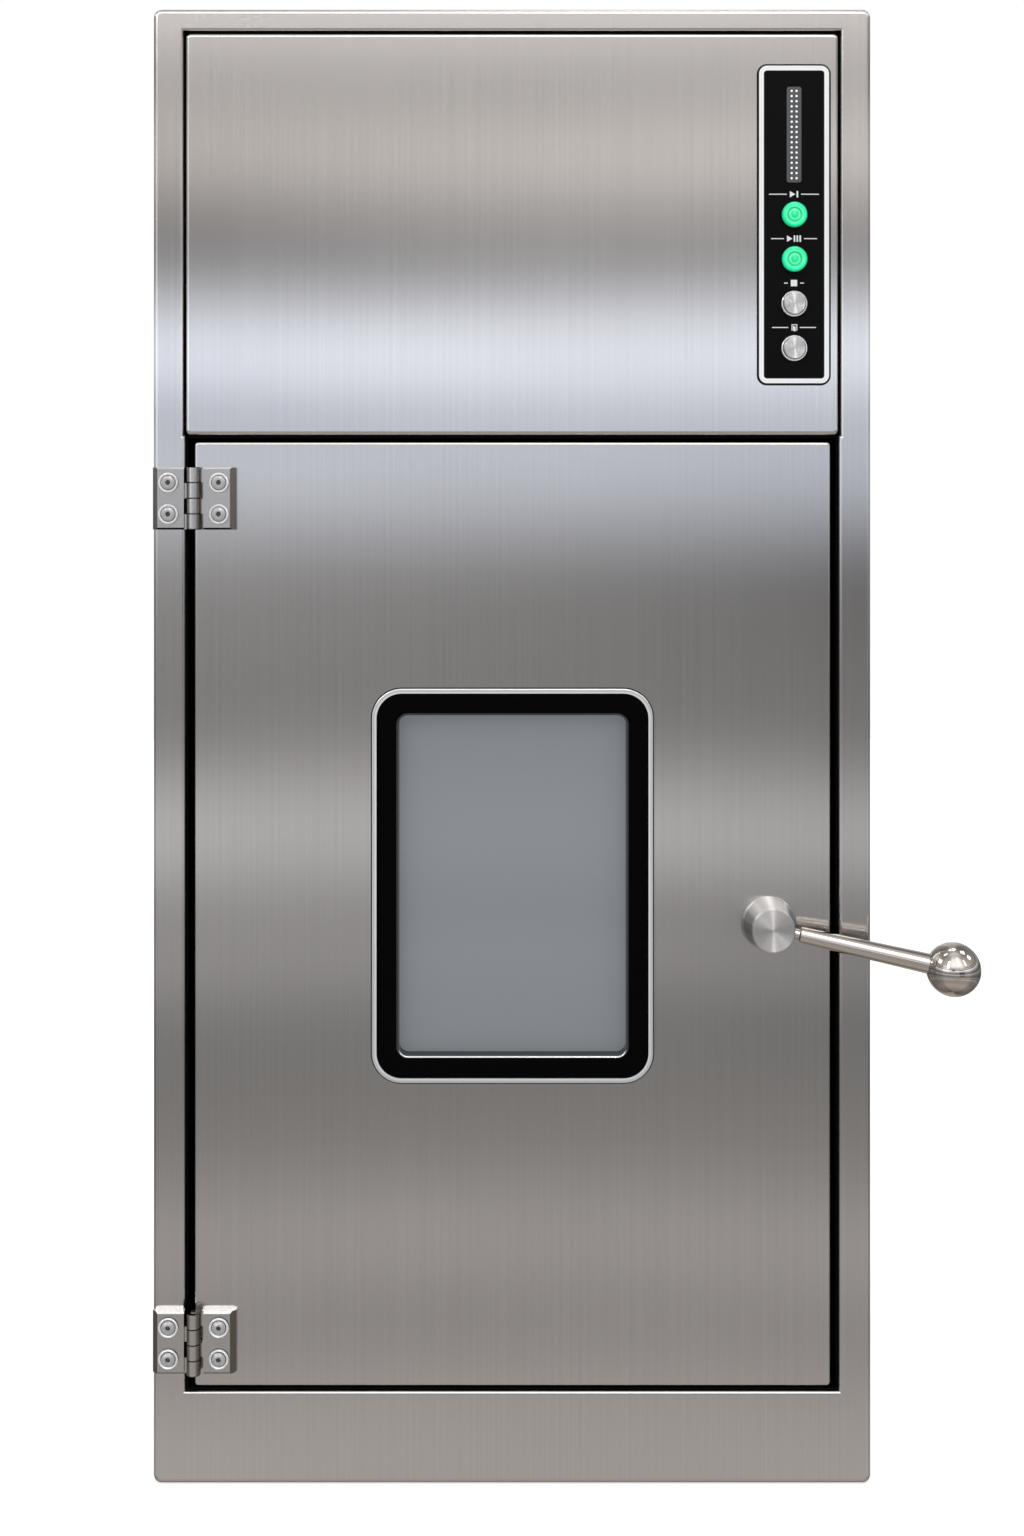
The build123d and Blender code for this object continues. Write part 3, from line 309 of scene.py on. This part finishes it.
def satin(name, colour, roughness, grain=0.04, per_metre=220.0, metallic=1.0):
    """Fine even satin, as on bead-blasted or cast pieces: the shader and its colour's socket."""
    s = Shader(name, colour, metallic=metallic, roughness=roughness)
    speck = s.even_noise(per_metre, detail=3.0)
    tone = s.mixed(speck, shade(colour, 1 - grain), shade(colour, 1 + grain))
    s.to(tone, "Base Color")
    s.bump(speck, strength=0.08, depth=0.1 * MM)
    return s, tone


def satin_metal(*finish, **values):
    return satin(*finish, **values)[0].material


def knuckle_joints(s):
    """1 in the joints between the knuckles of both hinges, on their barrels alone, where shade is
    painted.
    """
    low, high = (Vector(c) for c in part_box("hinge_pins"))
    axis = (high.x - low.x) / 2 - PIN_RADIUS
    upper_foot = high.z - HINGE_HEIGHT
    is_upper = s.math("GREATER_THAN", s.along("Z"), (low.z + high.z) / 2)
    foot = s.math("ADD", s.math("MULTIPLY", is_upper, upper_foot - low.z), low.z)
    pitch = HINGE_HEIGHT / KNUCKLES
    step = s.math("DIVIDE", s.math("SUBTRACT", s.along("Z"), foot), pitch)
    away = s.math("MULTIPLY", s.math("PINGPONG", step, 0.5), pitch)
    out = s.math("ABSOLUTE", s.math("SUBTRACT", s.math("ABSOLUTE", s.along("X")), axis))
    on_barrel = s.smooth(out, start=BARREL_RADIUS + 0.5 * MM, full=BARREL_RADIUS - 0.5 * MM)
    return s.math("MULTIPLY", s.smooth(away, start=JOINT_EDGE, full=JOINT_DARK), on_barrel)


def hinge_metal(name, colour, painted_side_shade_colour, painted_shade_colour):
    """Satin leaves and barrels, with painted shade on the sides, below and in the joints, and a
    painted highlight on top.
    """
    s, tone = satin(name, colour, roughness=0.24)
    # painted shade on faces that turn sideways along X
    tone = s.mixed(s.facing("X", start=0.20, full=0.70), tone, painted_side_shade_colour)
    up = s.along("Z", "Normal")
    # painted highlight on faces that turn up
    tone = s.mixed(s.smooth(up, start=0.3, full=0.6), tone, PAINTED_HIGHLIGHT)
    # painted shade on faces that turn down
    tone = s.mixed(s.smooth(up, start=-0.3, full=-0.6), tone, painted_shade_colour)
    # painted shade in the joints between the knuckles and at the barrels' ends
    s.to(s.mixed(knuckle_joints(s), tone, painted_shade_colour), "Base Color")
    return s.material


def screw_metal(name, painted_highlight_colour, flat_colour, painted_recess_shade):
    """Sloping edges with a painted highlight round duller flat faces, and painted shade down in the
    grooves.
    """
    # the base colour is a painted highlight, kept on the sloping edges
    s, tone = satin(name, painted_highlight_colour, roughness=0.3, metallic=0.35)
    tone = s.mixed(s.facing("Y", start=0.76, full=0.86), tone, flat_colour)
    low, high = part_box("hinge_frame_screws")
    below = s.math("SUBTRACT", max(-low[1], high[1]), s.math("ABSOLUTE", s.along("Y")))
    # painted shade below the faces of the heads, in the grooves and sockets
    sunk = s.smooth(below, start=SCREW_SUNK, full=SCREW_FULL_SHADE)
    s.to(s.mixed(sunk, tone, painted_recess_shade), "Base Color")
    return s.material


def pressed_trim(name, node, corner, section, metallic):
    """Bright pressed rim, with the tones of its section, painted shade among them: the shader and its
    colour's socket.
    """
    s = Shader(name, section[0][1], metallic=metallic, roughness=0.2)
    low, high = (Vector(c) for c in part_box(node))
    centre, half = (low + high) / 2, (high - low) / 2
    place = s.add("ShaderNodeTexCoord")
    away = s.vector_math("SUBTRACT", place.outputs["Object"], (centre.x, 0.0, centre.z))
    away = s.vector_math("ABSOLUTE", away)
    away = s.vector_math("SUBTRACT", away, (half.x - corner, 1.0, half.z - corner))
    away = s.vector_math("MAXIMUM", away, (0.0, 0.0, 0.0))
    inside = s.math("SUBTRACT", corner, s.vector_math("LENGTH", away, output="Value"))
    span = section[-1][0]
    run = [(distance / span, colour) for distance, colour in section]
    tone = s.stops(s.math("DIVIDE", inside, span * MM), run)
    s.to(tone, "Base Color")
    s.bump(s.even_noise(220.0, detail=3.0), strength=0.05, depth=0.1 * MM)
    return s, tone


def strip_trim(name, node):
    """Bright rim round the control strip."""
    return pressed_trim(name, node, STRIP_CORNER, STRIP_SECTION, metallic=0.3)[0].material


def window_trim(name, node):
    """Bright rim round a dark sleeve, with a painted highlight on its lower lip."""
    s, tone = pressed_trim(name, node, WINDOW_CORNER, WINDOW_SECTION, metallic=0.5)
    # painted highlight on the lip's faces that turn up and towards the front or back
    upward = s.smooth(s.along("Z", "Normal"), start=0.25, full=0.45)
    lip = s.math("MULTIPLY", upward, s.facing("Y", start=0.20, full=0.40))
    s.to(s.mixed(lip, tone, PAINTED_HIGHLIGHT), "Base Color")
    return s.material


def polished_metal(name, colour, roughness):
    s = Shader(name, colour, metallic=1.0, roughness=roughness)
    s.to(s.ranged(s.even_noise(60.0), roughness * 0.7, roughness * 1.4), "Roughness")
    return s.material


def rubber(name, colour, specular):
    s = Shader(name, colour, roughness=0.75)
    grain = s.even_noise(700.0)
    s.to(s.mixed(grain, shade(colour, 0.8), shade(colour, 1.25)), "Base Color")
    s.set("Specular IOR Level", specular)
    s.bump(grain, strength=0.1, depth=0.1 * MM)
    return s.material


def moulded_plastic(name, colour, roughness=0.3, specular=0.5):
    s = Shader(name, colour, roughness=roughness)
    texture = s.even_noise(900.0)
    s.set("Specular IOR Level", specular)
    s.to(s.ranged(texture, roughness * 0.9, roughness * 1.15), "Roughness")
    s.bump(texture, strength=0.05, depth=0.05 * MM)
    return s.material


def lit_plastic(name, rings):
    """Translucent plastic lit from behind. The rings give its tone from the middle outwards, painted
    highlights and shade among them.
    """
    s = Shader(name, rings[0][1], roughness=0.22)
    place = s.add("ShaderNodeTexCoord")
    away = s.vector_math("SUBTRACT", place.outputs["Generated"], (0.5, 0.0, 0.5))
    away = s.vector_math("MULTIPLY", away, (2.0, 0.0, 2.0))
    tone = s.stops(s.vector_math("LENGTH", away, output="Value"), rings)
    tone = s.vector_math("MULTIPLY", tone, s.ranged(s.even_noise(160.0), 0.93, 1.07))
    s.to(tone, "Base Color")
    s.to(tone, "Emission Color")
    s.set("Emission Strength", LIT_STRENGTH)
    return s.material


def small_lamp(name, colour):
    s = Shader(name, colour, roughness=0.22)
    s.set("Emission Color", (*colour, 1.0))
    s.set("Emission Strength", LIT_STRENGTH)
    return s.material


def tinted_glass(name, colour, painted_glow):
    """Tinted pane over a dim chamber, with a little painted glow of its own that lifts its shade."""
    s = Shader(name, colour, roughness=0.06)
    s.set("IOR", 1.5)
    s.set("Alpha", 0.92)
    # painted glow: an even emission that fills in the pane's shade
    s.set("Emission Color", (*painted_glow, 1.0))
    s.set("Emission Strength", 1.0)
    return s.material


def filter_paper(name, colour):
    s = Shader(name, colour, roughness=0.9)
    fibre = s.noise((400.0, 60.0, 400.0), detail=4.0)
    s.to(s.mixed(fibre, shade(colour, 0.9), colour), "Base Color")
    s.bump(fibre, strength=0.2, depth=0.2 * MM)
    return s.material


def make_materials():
    """The finish of each slot of the record, and of the nodes that have their own."""
    return {
        "face_steel": brushed_steel("face_steel", FACE_TONE),
        "casing_steel": brushed_steel("casing_steel", FACE_TONE),
        "flat_casing_steel": brushed_steel("flat_casing_steel", FACE_TONE, grain=ALONG_Y),
        "chamber_steel": satin_metal("chamber_steel", (0.62, 0.62, 0.62), roughness=0.32),
        "trim_steel": satin_metal(
            "trim_steel", (0.93, 0.93, 0.94), roughness=0.2, grain=0.02, metallic=0.55
        ),
        "strip_trim": strip_trim("strip_trim", "control_bezel"),
        "front_window_trim": window_trim("front_window_trim", "front_window_frame"),
        "rear_window_trim": window_trim("rear_window_trim", "rear_window_frame"),
        "turned_steel": turned_steel("turned_steel", (0.68, 0.665, 0.65), roughness=0.38),
        # the second and third colours are painted shade
        "hinge_steel": hinge_metal(
            "hinge_steel", (0.575, 0.552, 0.53), (0.25, 0.218, 0.19), (0.03, 0.027, 0.025)
        ),
        # white is a painted highlight, the last colour painted shade
        "screw_steel": screw_metal(
            "screw_steel", (1.0, 1.0, 1.0), (0.50, 0.50, 0.51), (0.05, 0.047, 0.045)
        ),
        "polished_steel": polished_metal("polished_steel", (0.60, 0.553, 0.512), roughness=0.05),
        "inner_steel": satin_metal("inner_steel", (0.70, 0.71, 0.72), roughness=0.4),
        "galvanised": satin_metal("galvanised", (0.60, 0.62, 0.64), roughness=0.45, per_metre=40.0),
        "motor_black": moulded_plastic("motor_black", (0.03, 0.03, 0.035), roughness=0.45),
        "seal_rubber": rubber("seal_rubber", (0.0014, 0.0014, 0.0015), specular=0.05),
        "window_black": rubber("window_black", (0.0012, 0.0012, 0.0012), specular=0.03),
        # the second colour is the pane's painted glow
        "window_glass": tinted_glass(
            "window_glass", (0.180, 0.188, 0.204), (0.085, 0.091, 0.100)
        ),
        "fascia_black": moulded_plastic("fascia_black", (0.003, 0.003, 0.0035), 0.5, specular=0.06),
        "lens_grey": moulded_plastic("lens_grey", (0.075, 0.078, 0.083)),
        "button_green": lit_plastic("button_green", GREEN_RINGS),
        "lamp_white": small_lamp("lamp_white", (0.9, 0.9, 0.9)),
        "print_white": moulded_plastic("print_white", (0.86, 0.86, 0.87), 0.6, specular=0.2),
        "button_steel": turned_steel("button_steel", (0.76, 0.76, 0.76), roughness=0.42),
        "switch_plastic": moulded_plastic("switch_plastic", (0.02, 0.02, 0.022)),
        "filter_paper": filter_paper("filter_paper", (0.82, 0.82, 0.79)),
        "enclosure_paint": moulded_plastic("enclosure_paint", (0.42, 0.44, 0.45), 0.5),
        "magnet_housing": satin_metal("magnet_housing", (0.70, 0.70, 0.71), roughness=0.3),
    }


# nodes whose finish isn't simply their slot's
OWN_FINISHES = {
    "base_pan": "flat_casing_steel",
    "roof_skin": "flat_casing_steel",
    "control_bezel": "strip_trim",
    "front_window_frame": "front_window_trim",
    "rear_window_frame": "rear_window_trim",
}


def dress(materials):
    """Gives each CAD node the finish of its slot, or its own."""
    for subpart in frame["record"]["subparts"]:
        node = subpart["node"]
        finish = OWN_FINISHES.get(node, subpart["material_slot"])
        mesh = nodes[node].data
        mesh.materials.clear()
        mesh.materials.append(materials[finish])


# ------------------------------------------------------------------ control strip
DOT_RADIUS = 1.15 * MM
DOT_RISE = 0.35 * MM
DOT_ROWS = 18
DOT_PITCH = 5.14 * MM
DOT_COLUMN_OFFSET = 2.45 * MM
PRINT_THICKNESS = 0.08 * MM
SIGN_ABOVE_BUTTON = 20.9 * MM
SIGN_HEIGHT = 6.4 * MM
RULE_THICKNESS = 0.9 * MM
RULE_GAP = 3.0 * MM
# width over both rules of each sign
SIGN_WIDTHS = {
    "button_short_cycle": 50.0 * MM,
    "button_long_cycle": 46.0 * MM,
    "button_stop": 20.0 * MM,
    "button_open_door": 44.0 * MM,
}


def new_piece(name, shape, material, body):
    """Makes an object of the shape, riding on a body."""
    bmesh.ops.recalc_face_normals(shape, faces=shape.faces[:])
    mesh = bpy.data.meshes.new(name)
    shape.to_mesh(mesh)
    shape.free()
    mesh.materials.append(material)
    piece = bpy.data.objects.new(name, mesh)
    bpy.context.scene.collection.objects.link(piece)
    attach(piece, body)
    return piece


def add_dome(shape, centre, radius, rise, around=14, up=4):
    """A small closed dome that bulges towards -Y, with its flat foot at the centre."""
    x, y, z = centre
    rings = []
    for level in range(up):
        turn = math.pi / 2 * level / up
        reach = radius * math.cos(turn)
        depth = y - rise * math.sin(turn)
        angles = [2 * math.pi * step / around for step in range(around)]
        ring = [(x + reach * math.cos(a), depth, z + reach * math.sin(a)) for a in angles]
        rings.append([shape.verts.new(point) for point in ring])
    crown = shape.verts.new((x, y - rise, z))
    shape.faces.new(rings[0])
    for low, high in zip(rings, rings[1:]):
        for i in range(around):
            j = (i + 1) % around
            shape.faces.new((low[i], low[j], high[j], high[i])).smooth = True
    for i in range(around):
        shape.faces.new((rings[-1][i], rings[-1][(i + 1) % around], crown)).smooth = True


def add_print(shape, outline, x, y, z):
    """A thin printed shape on a surface that faces -Y. The outline is in X and Z about (x, z)."""
    loops = [
        [shape.verts.new((x + u, depth, z + v)) for u, v in outline]
        for depth in (y, y - PRINT_THICKNESS)
    ]
    for loop in loops:
        shape.faces.new(loop)
    for i in range(len(outline)):
        j = (i + 1) % len(outline)
        shape.faces.new((loops[0][i], loops[0][j], loops[1][j], loops[1][i]))


def block(left, low, right, high):
    return [(left, low), (right, low), (right, high), (left, high)]


def play_sign(bars):
    """A triangle, and behind it one bar for a short run or three for a long one."""
    half = SIGN_HEIGHT / 2
    tip = SIGN_HEIGHT * 0.85
    bar, gap = SIGN_HEIGHT * 0.25, SIGN_HEIGHT * 0.2
    width = tip + bars * (bar + gap)
    outlines = [[(-width / 2, -half), (tip - width / 2, 0.0), (-width / 2, half)]]
    for index in range(bars):
        left = tip - width / 2 + gap + index * (bar + gap)
        outlines.append(block(left, -half, left + bar, half))
    return outlines, width


def stop_sign():
    half = SIGN_HEIGHT / 2
    return [block(-half, -half, half, half)], SIGN_HEIGHT


def door_sign():
    """A doorway with its leaf half open."""
    half, side = SIGN_HEIGHT / 2, SIGN_HEIGHT * 0.38
    bar = SIGN_HEIGHT * 0.13
    leaf = SIGN_HEIGHT * 0.42
    outlines = [
        block(-side, -half, -side + bar, half),
        block(-side + bar, half - bar, side, half),
        block(side, -half, side + bar, half),
        [
            (-side + 1.6 * bar, -half),
            (-side + 1.6 * bar + leaf, -half - bar),
            (-side + 1.6 * bar + leaf, half - 3 * bar),
            (-side + 1.6 * bar, half - 1.8 * bar),
        ],
    ]
    return outlines, 2 * side + bar


SIGNS = {
    "button_short_cycle": play_sign(1),
    "button_long_cycle": play_sign(3),
    "button_stop": stop_sign(),
    "button_open_door": door_sign(),
}


def middle(low, high, axis):
    return (low[axis] + high[axis]) / 2


def dress_control_strip(materials):
    """Lamps of the display, and a plain symbol between two rules above each button."""
    low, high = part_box("led_bar_lens")
    shape = bmesh.new()
    for row in range(DOT_ROWS):
        z = middle(low, high, 2) + (row - (DOT_ROWS - 1) / 2) * DOT_PITCH
        for side in (-1, 1):
            x = middle(low, high, 0) + side * DOT_COLUMN_OFFSET
            add_dome(shape, (x, low[1], z), DOT_RADIUS, DOT_RISE)
    new_piece("display_lamps", shape, materials["lamp_white"], "cabinet")

    fascia_low, fascia_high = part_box("control_fascia")
    x, y = middle(fascia_low, fascia_high, 0), fascia_low[1]
    shape = bmesh.new()
    for button, (outlines, width) in SIGNS.items():
        z = middle(*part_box(button), 2) + SIGN_ABOVE_BUTTON
        for outline in outlines:
            add_print(shape, outline, x, y, z)
        inner, outer = width / 2 + RULE_GAP, SIGN_WIDTHS[button] / 2
        half = RULE_THICKNESS / 2
        for rule in (block(inner, -half, outer, half), block(-outer, -half, -inner, half)):
            add_print(shape, rule, x, y, z)
    new_piece("button_signs", shape, materials["print_white"], "cabinet")


# ------------------------------------------------------------------ floor, light and world
KEY_SIZE = (2.4, 1.6)
KEY_POWER = 12.0
KEY_PLACE = (-0.6, -2.6, 2.9)
KEY_AIM = (0.0, -0.2, 0.7)
FLOOR_SIZE = 12.0
FLOOR_TONE = 0.80
FLOOR_LIFT = 0.50  # what the camera sees on top of the lit floor, to bring it up to white
PLAIN_LEVEL = 0.86  # light from all round on everything that isn't metal
WARM = (1.0, 0.96, 0.93)
BROWN = (1.0, 0.92, 0.85)
NEUTRAL = (1.0, 0.99, 0.985)
CLEAR = (0.99, 0.99, 1.01)
COOL = (0.90, 0.96, 1.08)
# what metal sees: elevation in degrees, brightness and tint of each soft band of the room
BANDS = [
    (-90, 0.34, BROWN),
    (-72, 0.42, BROWN),
    (-56, 0.56, BROWN),
    (-42, 0.46, BROWN),
    (-34, 0.46, WARM),
    (-29, 0.66, WARM),
    (-26.4, 0.52, WARM),
    (-24.9, 0.31, WARM),
    (-23, 0.61, WARM),
    (-20.6, 0.36, WARM),
    (-17.5, 0.28, NEUTRAL),
    (-15.4, 0.30, NEUTRAL),
    (-13.8, 0.57, NEUTRAL),
    (-12.4, 0.29, NEUTRAL),
    (-10, 0.91, CLEAR),
    (-7, 0.36, NEUTRAL),
    (-4.5, 0.33, NEUTRAL),
    (-2.4, 0.39, NEUTRAL),
    (-1, 0.355, NEUTRAL),
    (3.2, 1.15, COOL),
    (4.6, 0.67, COOL),
    (6.4, 2.10, COOL),
    (9.0, 0.53, NEUTRAL),
    (10.6, 0.34, NEUTRAL),
    (13.4, 1.07, WARM),
    (15.4, 0.25, WARM),
    (17.4, 0.70, WARM),
    (24, 0.80, WARM),
    (45, 0.62, NEUTRAL),
    (62, 0.55, NEUTRAL),
    (80, 0.95, NEUTRAL),
    (90, 0.95, NEUTRAL),
]
PEAK = 2.2  # a ramp holds no colour above 1, so the bands are stored as shares of this
# how bright the bands are by the azimuth away from the front, in degrees, up to 180
ROUND = [(0, 1.0), (50, 1.0), (78, 0.64), (100, 0.55), (122, 0.40), (145, 0.42), (165, 1.0)]
# soft boxes in that room: azimuth, elevation, width, height and softness in degrees, then how
# much brighter or, below 0, darker it is there. Azimuth 0 is in front of the cabinet, 90 on its right.
SOFT_BOXES = [
    (0, 42, 40, 20, 22, 1.0),
    (-38, 31, 4, 24, 3, 9.0),
    (10, 44, 4, 30, 4, 6.0),
    (44, 35, 3, 20, 3, 3.0),
    (-46, 12, 20, 18, 7, 0.5),
    (24, 11, 14, 12, 6, 0.16),
    (-15, 9, 10, 8, 3, -0.45),
    (-84, 32, 12, 8, 4, 4.0),
    (-100, 62, 22, 8, 4, 4.0),
    (165, 76, 40, 8, 4, 4.0),
    (100, 60, 22, 8, 4, 4.0),
    (88, 38, 12, 8, 4, 4.0),
    (22, 4, 18, 9, 6, -0.34),
    (22, -11, 18, 6, 4, -0.22),
    (8, 0, 24, 6, 5, -0.035),
    (4, -30, 26, 6, 2, -0.08),
]


def make_floor():
    """Pale floor with the cabinet's shadow. It doesn't show in the metal."""
    mesh = bpy.data.meshes.new("floor")
    half = FLOOR_SIZE / 2
    corners = [(-half, -half, 0), (half, -half, 0), (half, half, 0), (-half, half, 0)]
    mesh.from_pydata(corners, [], [(0, 1, 2, 3)])
    floor = bpy.data.objects.new("floor", mesh)
    bpy.context.scene.collection.objects.link(floor)
    s = Shader("floor", (FLOOR_TONE,) * 3, roughness=0.9)
    s.set("Specular IOR Level", 0.0)
    s.set("Emission Color", (1.0, 1.0, 1.0, 1.0))
    rays = s.add("ShaderNodeLightPath")
    s.to(s.ranged(rays.outputs["Is Camera Ray"], 0.0, FLOOR_LIFT, 0.0, 1.0), "Emission Strength")
    mesh.materials.append(s.material)
    floor.visible_glossy = False


class World(Shader):
    """The world's node tree, with the same short ways to add nodes."""

    def __init__(self):
        world = bpy.data.worlds.new("studio")
        world.use_nodes = True
        bpy.context.scene.world = world
        self.tree = world.node_tree
        self.tree.nodes.clear()

    def near(self, value, middle, width, soft):
        """1 within half the width of the middle, falling smoothly to 0 over soft."""
        away = self.math("ABSOLUTE", self.math("SUBTRACT", value, middle))
        return self.smooth(away, width / 2 + soft, width / 2)

    def background(self, colour=None, source=None):
        node = self.add("ShaderNodeBackground")
        if colour:
            node.inputs["Color"].default_value = (*colour, 1.0)
        if source:
            self.link(source, node.inputs["Color"])
        return node.outputs["Background"]

    def choose(self, factor, no, yes):
        mix = self.add("ShaderNodeMixShader")
        for source, socket in zip((factor, no, yes), mix.inputs):
            self.link(source, socket)
        return mix.outputs["Shader"]


def make_world():
    """White to the camera. Metal sees a room of soft horizontal bands, with soft boxes in it."""
    w = World()
    x, y, z = (w.along(axis, "Generated") for axis in "XYZ")
    elevation = w.math("DEGREES", w.math("ARCSINE", z))
    azimuth = w.math("DEGREES", w.math("ARCTAN2", x, w.math("MULTIPLY", y, -1.0)))
    heights = [
        (math.sin(math.radians(e)) / 2 + 0.5, shade(tint, level / PEAK)) for e, level, tint in BANDS
    ]
    bands = w.stops(w.ranged(z, 0.0, 1.0, -1.0, 1.0), heights, "CARDINAL")
    turns = [(away / 180, (level,) * 3) for away, level in ROUND]
    away = w.ranged(w.math("ABSOLUTE", azimuth), 0.0, 1.0, 0.0, 180.0)
    room = w.vector_math("MULTIPLY", bands, w.stops(away, turns, "EASE"))
    seen = w.vector_math("MULTIPLY", room, (PEAK,) * 3)
    for box_azimuth, box_elevation, width, height, soft, level in SOFT_BOXES:
        across = w.near(azimuth, box_azimuth, width, soft)
        up = w.near(elevation, box_elevation, height, soft)
        glow = w.math("MULTIPLY", w.math("MULTIPLY", across, up), level)
        seen = w.vector_math("ADD", seen, glow)
    rays = w.add("ShaderNodeLightPath")
    plain = w.background(colour=(PLAIN_LEVEL,) * 3)
    lit = w.choose(rays.outputs["Is Glossy Ray"], plain, w.background(source=seen))
    shown = w.choose(rays.outputs["Is Camera Ray"], lit, w.background(colour=(1.0, 1.0, 1.0)))
    output = w.add("ShaderNodeOutputWorld")
    w.link(shown, output.inputs["Surface"])


def make_key_lamp():
    """A broad soft lamp above the front, for gentle shade on the floor and in the recesses."""
    data = bpy.data.lights.new("key", "AREA")
    data.shape = "RECTANGLE"
    data.size, data.size_y = KEY_SIZE
    data.energy = KEY_POWER
    lamp = bpy.data.objects.new("key", data)
    lamp.location = KEY_PLACE
    aim = Vector(KEY_AIM) - Vector(KEY_PLACE)
    lamp.rotation_euler = aim.to_track_quat("-Z", "Y").to_euler()
    lamp.visible_glossy = False
    bpy.context.scene.collection.objects.link(lamp)


# ------------------------------------------------------------------ run
bpy.context.scene.view_settings.view_transform = "Standard"
make_camera()
materials = make_materials()
dress(materials)
dress_control_strip(materials)
make_floor()
make_world()
make_key_lamp()
